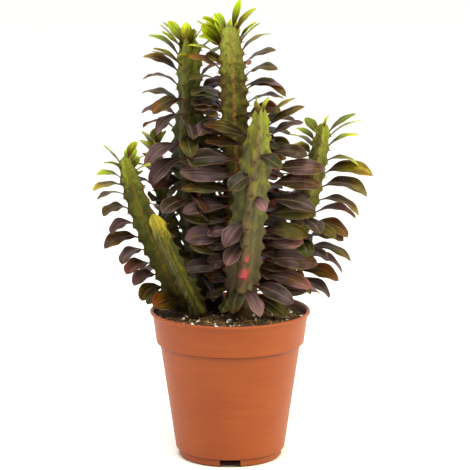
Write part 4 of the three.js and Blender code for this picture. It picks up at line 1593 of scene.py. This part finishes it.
# Scars on the front stem: share of its length, angle round it, half height and half width
FRONT_SCARS = ((0.236, -75, 5.8, 10.0), (0.314, -78, 3.2, 4.2))


@dataclass
class Plant:
    """The seven stems with their leaves and thorns."""

    stems: tuple[Stem, ...] = STEMS
    layout: Layout = field(default_factory=Layout)
    form: StemForm = field(default_factory=StemForm)

    def build(self) -> None:
        """Makes each stem's skin, leaves and thorns, which stand for the stem's node together."""
        foliage = Foliage(self.layout)
        blade = LeafBlade().material()
        thorn = DryThorn().material()
        for stem, leaves in zip(self.stems, self.layout.place(self.stems), strict=True):
            part = stem.name.removeprefix("stem_")
            slot = Slot.YOUNG if part == "pup" else Slot.PLANT
            scars = FRONT_SCARS if part == "front" else ()
            pieces = [self.form.skin(stem, scars).piece(f"skin_{part}", stem.skin.material(), slot)]
            pieces.append(self.form.thorns(stem).piece(f"thorns_{part}", thorn, slot, smooth=False))
            if leaves:
                pieces.append(foliage.surface(leaves).piece(f"leaves_{part}", blade, slot))
            for piece in pieces:
                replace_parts(piece, stem.name)


@dataclass
class Pot:
    """The nursery pot: a thin shell turned from a rounded profile, with notches in its foot.

    Pairs are a radius and a height of the outside, from the foot up. The floor has a flat well in the middle
    and a raised channel round it, where the drain holes are. Gap is what the soil leaves free at the wall,
    and half of what a notch leaves of the foot's height. Points closer than merge_gap become one.
    """

    wall: float = 1.6
    foot_height: float = 8.6
    foot_radius: float = 52.8
    foot_side: tuple[float, float] = (55.3, 2.6)
    step_radius: float = 55.7
    step_top: float = 8.2
    body_bottom: tuple[float, float] = (57.9, 9.2)
    body_top: tuple[float, float] = (74.4, 122.0)
    collar_bottom: tuple[float, float] = (COLLAR_FOOT_RADIUS, COLLAR_FOOT_Z)
    collar_top: tuple[float, float] = (82.2, 154.6)
    lip_bottom: float = 156.0
    well_radius: float = 34.0
    well_slope: float = 2.0
    channel_radius: float = 53.4
    notch_width: float = 21.0
    notches: int = 4
    drain_radius: float = 4.0
    drain_sides: int = 24
    gap: float = 0.3
    columns: int = 160
    notch_columns: int = 12
    round_steps: int = 4
    round_reach: float = 0.45
    merge_gap: float = 0.02

    def inner(self) -> list[Triple]:
        """The inner wall, from the lip down to the floor's centre.

        Returns:
            Radius, height and corner radius of each corner.
        """
        wall, floor = self.wall, self.foot_height + self.wall
        return [
            (self.collar_top[0] - wall, self.collar_top[1], 2),
            (self.collar_bottom[0] - wall, self.collar_bottom[1] + wall, 0.8),
            (self.body_top[0] - wall, self.body_top[1] + wall, 0.8),
            (self.body_bottom[0] - wall, self.body_bottom[1] + wall, 1),
            (self.step_radius - wall, floor, 1),
            (self.well_radius + self.well_slope - wall / 2, floor, 0.5),
            (self.well_radius - wall, wall, 0.5),
            (0, wall, 0),
        ]

    def outer(self) -> list[Triple]:
        """The outer wall, from the floor's centre out and up over the lip.

        Returns:
            Radius, height and corner radius of each corner.
        """
        wall, foot = self.wall, self.foot_height
        return [
            (0, 0, 0),
            (self.well_radius, 0, 0.5),
            (self.well_radius + self.well_slope, foot, 0.5),
            (self.channel_radius, foot, 0.5),
            (self.foot_radius - wall, 0, 0.4),
            (self.foot_radius, 0, 0.6),
            (*self.foot_side, 1.2),
            (self.step_radius, self.step_top, 0.4),
            (*self.body_bottom, 0.7),
            (*self.body_top, 1.2),
            (*self.collar_bottom, 1.0),
            (*self.collar_top, 0.6),
            (LIP_RADIUS, self.lip_bottom, 0.8),
            (LIP_RADIUS, POT_HEIGHT - wall, 0.9),
            (LIP_RADIUS - wall, POT_HEIGHT, 0.8),
            (self.collar_top[0] - wall / 2, POT_HEIGHT - wall / 2, 1),
        ]

    def rounded(self, corners: list[Triple]) -> np.ndarray:
        """The profile with each corner turned into an arc.

        A corner of radius r is left at r before it and met again at r after it, and the points between are
        (1-s)^2 * before + 2s(1-s) * corner + s^2 * after. No arc takes more than round_reach of a side.

        Args:
            corners: radius, height and corner radius.

        Returns:
            The profile's radii and heights, (n, 2).
        """
        points: list[np.ndarray] = []
        places = np.array([corner[:2] for corner in corners])
        steps = np.linspace(0, 1, self.round_steps)[:, None]
        for i, (_, _, size) in enumerate(corners):
            here = places[i]
            if size == 0 or i in (0, len(corners) - 1):
                points.append(here[None])
                continue
            back, ahead = places[i - 1] - here, places[i + 1] - here
            before = here + back * min(self.round_reach, size / np.linalg.norm(back))
            after = here + ahead * min(self.round_reach, size / np.linalg.norm(ahead))
            points.append((1 - steps) ** 2 * before + 2 * steps * (1 - steps) * here + steps**2 * after)
        return np.concatenate(points)

    def azimuths(self) -> tuple[np.ndarray, np.ndarray]:
        """Spaces the columns round the pot, with two at each notch's edge.

        Returns:
            Their azimuths, and whether each is in a notch.
        """
        half = np.degrees(np.arcsin(self.notch_width / 2 / self.foot_radius))
        turn = 360 / self.notches
        inside = np.linspace(-half, half, self.notch_columns)
        outside = np.linspace(half, turn - half, self.columns // self.notches + 2 - self.notch_columns)
        angles = np.concatenate([np.concatenate([inside, outside]) + turn * i for i in range(self.notches)])
        cut = np.tile(np.arange(len(inside) + len(outside)) < len(inside), self.notches)
        return angles, cut

    def build(self) -> None:
        """Turns the profile, lifts the foot ring in the notches, and cuts the drain holes."""
        profile = self.rounded(self.outer() + self.inner())[1:-1]
        angles, cut = self.azimuths()
        radius, height = profile[:, 0, None], profile[:, 1, None]
        outside = radius > self.foot_radius - 2 * self.wall
        notched = outside & (radius < self.step_radius) & (height < self.foot_height) & cut[None]
        lifted = np.where(notched, np.maximum(height, self.foot_height - 2 * self.gap), height)
        out = np.where(notched, np.maximum(radius, self.channel_radius), radius)
        around = level(angles)[None] * out[..., None]
        grid = around + lifted[..., None] * UP
        rows, sides = lifted.shape
        count = rows * sides
        ends = np.array([[0, 0, 0], [0, 0, self.wall]])
        faces = grid_faces(rows, sides)
        faces += [[(k + 1) % sides, k, count] for k in range(sides)]
        faces += [[count - sides + k, count - sides + (k + 1) % sides, count + 1] for k in range(sides)]
        surface = Surface()
        surface.add(np.concatenate([grid.reshape(-1, 3), ends]), faces)
        piece = surface.piece("pot_shell", MouldedPolypropylene().material(), Slot.POT)
        self.clean(piece)
        self.drill(piece)
        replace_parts(piece, "pot")

    def clean(self, piece: bpy.types.Object) -> None:
        """Merges the doubled columns outside the foot ring, and turns the faces out.

        Args:
            piece: the shell.
        """
        form = bmesh.new()
        form.from_mesh(piece.data)
        bmesh.ops.remove_doubles(form, verts=form.verts, dist=self.merge_gap * MM)
        bmesh.ops.recalc_face_normals(form, faces=form.faces)
        form.to_mesh(piece.data)
        form.free()
        piece.data.set_sharp_from_angle(angle=np.radians(SMOOTH_ANGLE))

    def drill(self, piece: bpy.types.Object) -> None:
        """Cuts a round hole through the channel's floor at each notch.

        Args:
            piece: the shell.
        """
        form = bmesh.new()
        centre = (self.well_radius + self.channel_radius) / 2 + self.wall
        for i in range(self.notches):
            drill = bmesh.ops.create_cone(
                form,
                cap_ends=True,
                segments=self.drain_sides,
                radius1=self.drain_radius * MM,
                radius2=self.drain_radius * MM,
                depth=4 * self.wall * MM,
            )
            spot = level(360 / self.notches * i) * centre + UP * (self.foot_height + self.wall / 2)
            bmesh.ops.translate(form, verts=drill["verts"], vec=(spot * MM).tolist())
        mesh = bpy.data.meshes.new("drills")
        form.to_mesh(mesh)
        form.free()
        cutter = bpy.data.objects.new("drills", mesh)
        bpy.context.scene.collection.objects.link(cutter)
        cut = piece.modifiers.new("drain_holes", "BOOLEAN")
        cut.operation, cut.solver, cut.object = "DIFFERENCE", "EXACT", cutter
        bpy.context.view_layer.update()
        finished = bpy.data.meshes.new_from_object(piece.evaluated_get(bpy.context.evaluated_depsgraph_get()))
        piece.modifiers.clear()
        piece.data = finished
        bpy.data.objects.remove(cutter)


@dataclass
class Soil:
    """The peat that fills the pot, with bark chips and perlite strewn on it.

    Swells and ripples are the numbers a to d and e to h of the top's formula, in radians a millimetre. The
    swells are full as far as edge and fade out over fade, and the ripples between the two radii in rim.
    Grains lie within strewn_radius, flattened, with their corners jittered, tilted at most by tilt, and
    raised by a share of their size.
    """

    pot: Pot
    columns: int = 128
    rings: int = 46
    edge: float = 66.0
    fade: float = 6.0
    relief: float = 1.0
    crumble: float = 0.9
    rim: tuple[float, float] = (74.0, 78.0)
    swells: tuple[float, float, float, float] = (0.21, 0.17, 0.43, -0.37)
    ripples: tuple[float, float, float, float] = (1.7, 0.9, 1.5, 1.1)
    strewn_radius: float = 77.0
    jitter: float = 0.3
    flatness: float = 0.7
    tilt: float = 25.0
    raised: float = 0.2
    shades: tuple[float, float] = (0.2, 1.0)
    seed: int = 7

    def height(self, x: np.ndarray, y: np.ndarray) -> np.ndarray:
        """The top's height.

        Two swells, sin(a x + 1) * cos(b y) and half of sin(c x + d y), carry fine ripples,
        sin(e x + 2 sin(f y)) * sin(g y + 2 sin(h x)).

        Args:
            x: the places across.
            y: the places towards the back.

        Returns:
            The heights.
        """
        a, b, c, d = self.swells
        e, f, g, h = self.ripples
        reach = np.hypot(x, y)
        broad = np.sin(x * a + 1) * np.cos(y * b)
        fine = np.sin(x * c + y * d) / 2
        ripple = np.sin(e * x + 2 * np.sin(f * y)) * np.sin(g * y + 2 * np.sin(h * x))
        swell = self.relief * (broad + fine) * ease(-reach, -self.edge - self.fade, -self.edge)
        return SOIL_LEVEL + swell + self.crumble * ripple * ease(-reach, -self.rim[1], -self.rim[0])

    def build(self) -> None:
        """Makes the bed, the bark chips and the perlite."""
        gap = self.pot.gap
        inner = self.pot.inner()[::-1]
        wall = np.array([(max(r - gap, 0), z + gap) for r, z, _ in inner])
        wall[0, 0] = 0
        slope = (wall[-1, 0] - wall[-2, 0]) / (wall[-1, 1] - wall[-2, 1])
        wall[-1] = (wall[-1, 0] - slope * (wall[-1, 1] - SOIL_LEVEL), SOIL_LEVEL)
        top = np.linspace(wall[-1, 0], 0, self.rings)[1:-1]
        radius = np.concatenate([wall[1:, 0], top])[:, None]
        angles = 360 * np.arange(self.columns) / self.columns
        x, y = radius * level(angles)[:, 0], radius * level(angles)[:, 1]
        z = np.concatenate([wall[1:, 1], np.full(len(top), SOIL_LEVEL)])[:, None] + 0 * x
        z[len(wall) - 1 :] = self.height(x, y)[len(wall) - 1 :]
        grid = np.stack([x, y, z], axis=-1)
        rows, count = len(radius), len(radius) * self.columns
        ends = np.array([[0, 0, wall[0, 1]], [0, 0, float(self.height(np.zeros(1), np.zeros(1))[0])]])
        faces = grid_faces(rows, self.columns)
        last = count - self.columns
        faces += [[(k + 1) % self.columns, k, count] for k in range(self.columns)]
        faces += [[last + k, last + (k + 1) % self.columns, count + 1] for k in range(self.columns)]
        bed = Surface()
        bed.add(np.concatenate([grid.reshape(-1, 3), ends]), faces)
        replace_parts(bed.piece("soil_bed", MoistPeat().material(), Slot.SOIL), "soil")
        rng = np.random.default_rng(self.seed)
        self.strew("bark", rng, BARK)
        self.strew("perlite", rng, PERLITE)

    def strew(self, name: str, rng: np.random.Generator, crumb: Crumb) -> None:
        """Strews broken grains: eight-faced lumps with jittered corners, turned at random, on the soil's top.

        Args:
            name: the piece's name.
            rng: the seeded generator.
            crumb: the grains' number, sizes and finish.
        """
        count = crumb.count
        corners = np.array([[1, 0, 0], [0, 1, 0], [-1, 0, 0], [0, -1, 0], [0, 0, 1], [0, 0, -1]], float)
        faces = [[0, 1, 4], [1, 2, 4], [2, 3, 4], [3, 0, 4], [1, 0, 5], [2, 1, 5], [3, 2, 5], [0, 3, 5]]
        radius = self.strewn_radius * np.sqrt(rng.uniform(0, 1, count))
        spot = level(rng.uniform(0, 360, count)) * radius[:, None]
        size = mix(*crumb.sizes, rng.uniform(0, 1, count) ** 2)[:, None, None]
        lumps = corners + rng.uniform(-self.jitter, self.jitter, (count, 6, 3))
        lumps = lumps * np.array([1, 1, self.flatness]) * size
        lumps[..., 0] *= rng.uniform(1, crumb.stretch, (count, 1))
        turn = rng.uniform(0, 360, count)
        along, beside = level(turn), level(turn + 90)
        tilt = np.radians(rng.uniform(-self.tilt, self.tilt, count))[:, None]
        raised = along * np.cos(tilt) + UP * np.sin(tilt)
        normal = np.cross(raised, beside)
        placed = lumps[..., :1] * raised[:, None] + lumps[..., 1:2] * beside[:, None]
        placed = placed + lumps[..., 2:] * normal[:, None]
        spot[:, 2] = self.height(spot[:, 0], spot[:, 1]) + self.raised * size[:, 0, 0]
        placed = placed + spot[:, None]
        grain = rng.uniform(*self.shades, count)
        surface = Surface()
        for i in range(count):
            surface.add(placed[i], faces, grain=np.full((6, 3), grain[i]))
        piece = surface.piece(name, crumb.material(), Slot.SOIL, smooth=False)
        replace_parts(piece, "soil")


@dataclass(frozen=True)
class Lamp:
    """A soft rectangular lamp: its place and size in metres, its power in watts and its colour."""

    name: str
    place: Triple
    size: tuple[float, float]
    power: float
    colour: Triple


@dataclass
class Studio:
    """The pale floor, the soft light and the camera.

    Sky is the two depths between which the tent's strength runs, from -1 in front to 1 behind, and its
    strength at each. The lamps aim at a height on the plant's axis. Place is where the camera stands, in
    millimetres, and pitch how far it looks down.
    """

    floor_size: float = 40.0
    floor_colour: str = "#ffffff"
    sky: tuple[float, float, float, float] = (-0.9, 0.4, 0.06, 1.5)
    sky_colour: tuple[float, float, float, float] = (1.0, 0.99, 0.96, 1.0)
    lamps: tuple[Lamp, ...] = (
        Lamp("key", (1.6, -0.8, 1.4), (1.2, 1.2), 42, (1.0, 1.0, 0.6)),
        Lamp("fill", (-1.7, -0.6, 1.2), (1.0, 1.4), 7, (1.0, 0.93, 0.74)),
        Lamp("top", (-0.2, -0.9, 2.2), (1.0, 0.6), 33, (1.0, 0.95, 0.82)),
    )
    lamp_aim: float = 0.25
    place: Triple = (5.09, -2337.0, 691.0)
    pitch: float = 10.968
    focal_pixels: float = 2261.0
    frame_pixels: float = 470.0
    sensor_mm: float = 36.0

    def build(self) -> None:
        """Makes the floor, the tent, the lamps and the camera."""
        self.lay_floor()
        self.light_sky()
        for lamp in self.lamps:
            self.hang_lamp(lamp)
        self.set_camera()

    def lay_floor(self) -> None:
        """A wide sheet of matt paper at the height of the pot's foot."""
        half = self.floor_size / 2
        mesh = bpy.data.meshes.new("floor")
        corners = [(-half, -half, 0), (half, -half, 0), (half, half, 0), (-half, half, 0)]
        mesh.from_pydata(corners, [], [(0, 1, 2, 3)])
        material, _, bsdf = shader("matt_paper")
        bsdf.inputs["Base Color"].default_value = linear(self.floor_colour)
        bsdf.inputs["Roughness"].default_value = 0.9
        bsdf.inputs["Specular IOR Level"].default_value = 0.1
        mesh.materials.append(material)
        floor = bpy.data.objects.new("floor", mesh)
        bpy.context.scene.collection.objects.link(floor)

    def light_sky(self) -> None:
        """A faintly warm tent all round: dim in front, where the camera stands, and brighter behind."""
        world = bpy.data.worlds.new("tent")
        bpy.context.scene.world = world
        world.use_nodes = True
        tree = world.node_tree
        back = tree.nodes["Background"]
        way = add(tree, "TexCoord", out="Generated")
        depth = add(tree, "SeparateXYZ", [way], out="Y")
        strength = add(tree, "MapRange", [depth, *self.sky])
        tree.links.new(strength, back.inputs["Strength"])
        back.inputs["Color"].default_value = self.sky_colour

    def hang_lamp(self, lamp: Lamp) -> None:
        """Hangs a lamp and turns it to the plant's middle.

        Args:
            lamp: its settings.
        """
        light = bpy.data.lights.new(lamp.name, "AREA")
        light.shape = "RECTANGLE"
        light.size, light.size_y = lamp.size
        light.energy = lamp.power
        light.color = lamp.colour
        item = bpy.data.objects.new(lamp.name, light)
        item.location = lamp.place
        away = np.array(lamp.place) - self.lamp_aim * UP
        item.rotation_euler = (
            float(np.arctan2(np.hypot(away[0], away[1]), away[2])),
            0.0,
            float(np.arctan2(away[1], away[0]) + np.pi / 2),
        )
        bpy.context.scene.collection.objects.link(item)

    def set_camera(self) -> None:
        """The camera in front of the pot, looking along +Y and a little down, on a long lens."""
        camera = bpy.data.cameras.new("camera")
        camera.sensor_width = self.sensor_mm
        camera.lens = self.focal_pixels / self.frame_pixels * self.sensor_mm
        item = bpy.data.objects.new("camera", camera)
        item.location = (np.array(self.place) * MM).tolist()
        item.rotation_euler = (np.radians(90 - self.pitch), 0, 0)
        bpy.context.scene.collection.objects.link(item)
        bpy.context.scene.camera = item
        bpy.context.scene.view_settings.view_transform = "Standard"


def main() -> None:
    """Loads the frame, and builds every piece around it."""
    logging.basicConfig(level=logging.INFO, format="%(message)s")
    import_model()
    pot = Pot()
    pot.build()
    Soil(pot).build()
    Plant().build()
    Studio().build()
    bpy.context.view_layer.update()


if __name__ == "__main__":
    main()
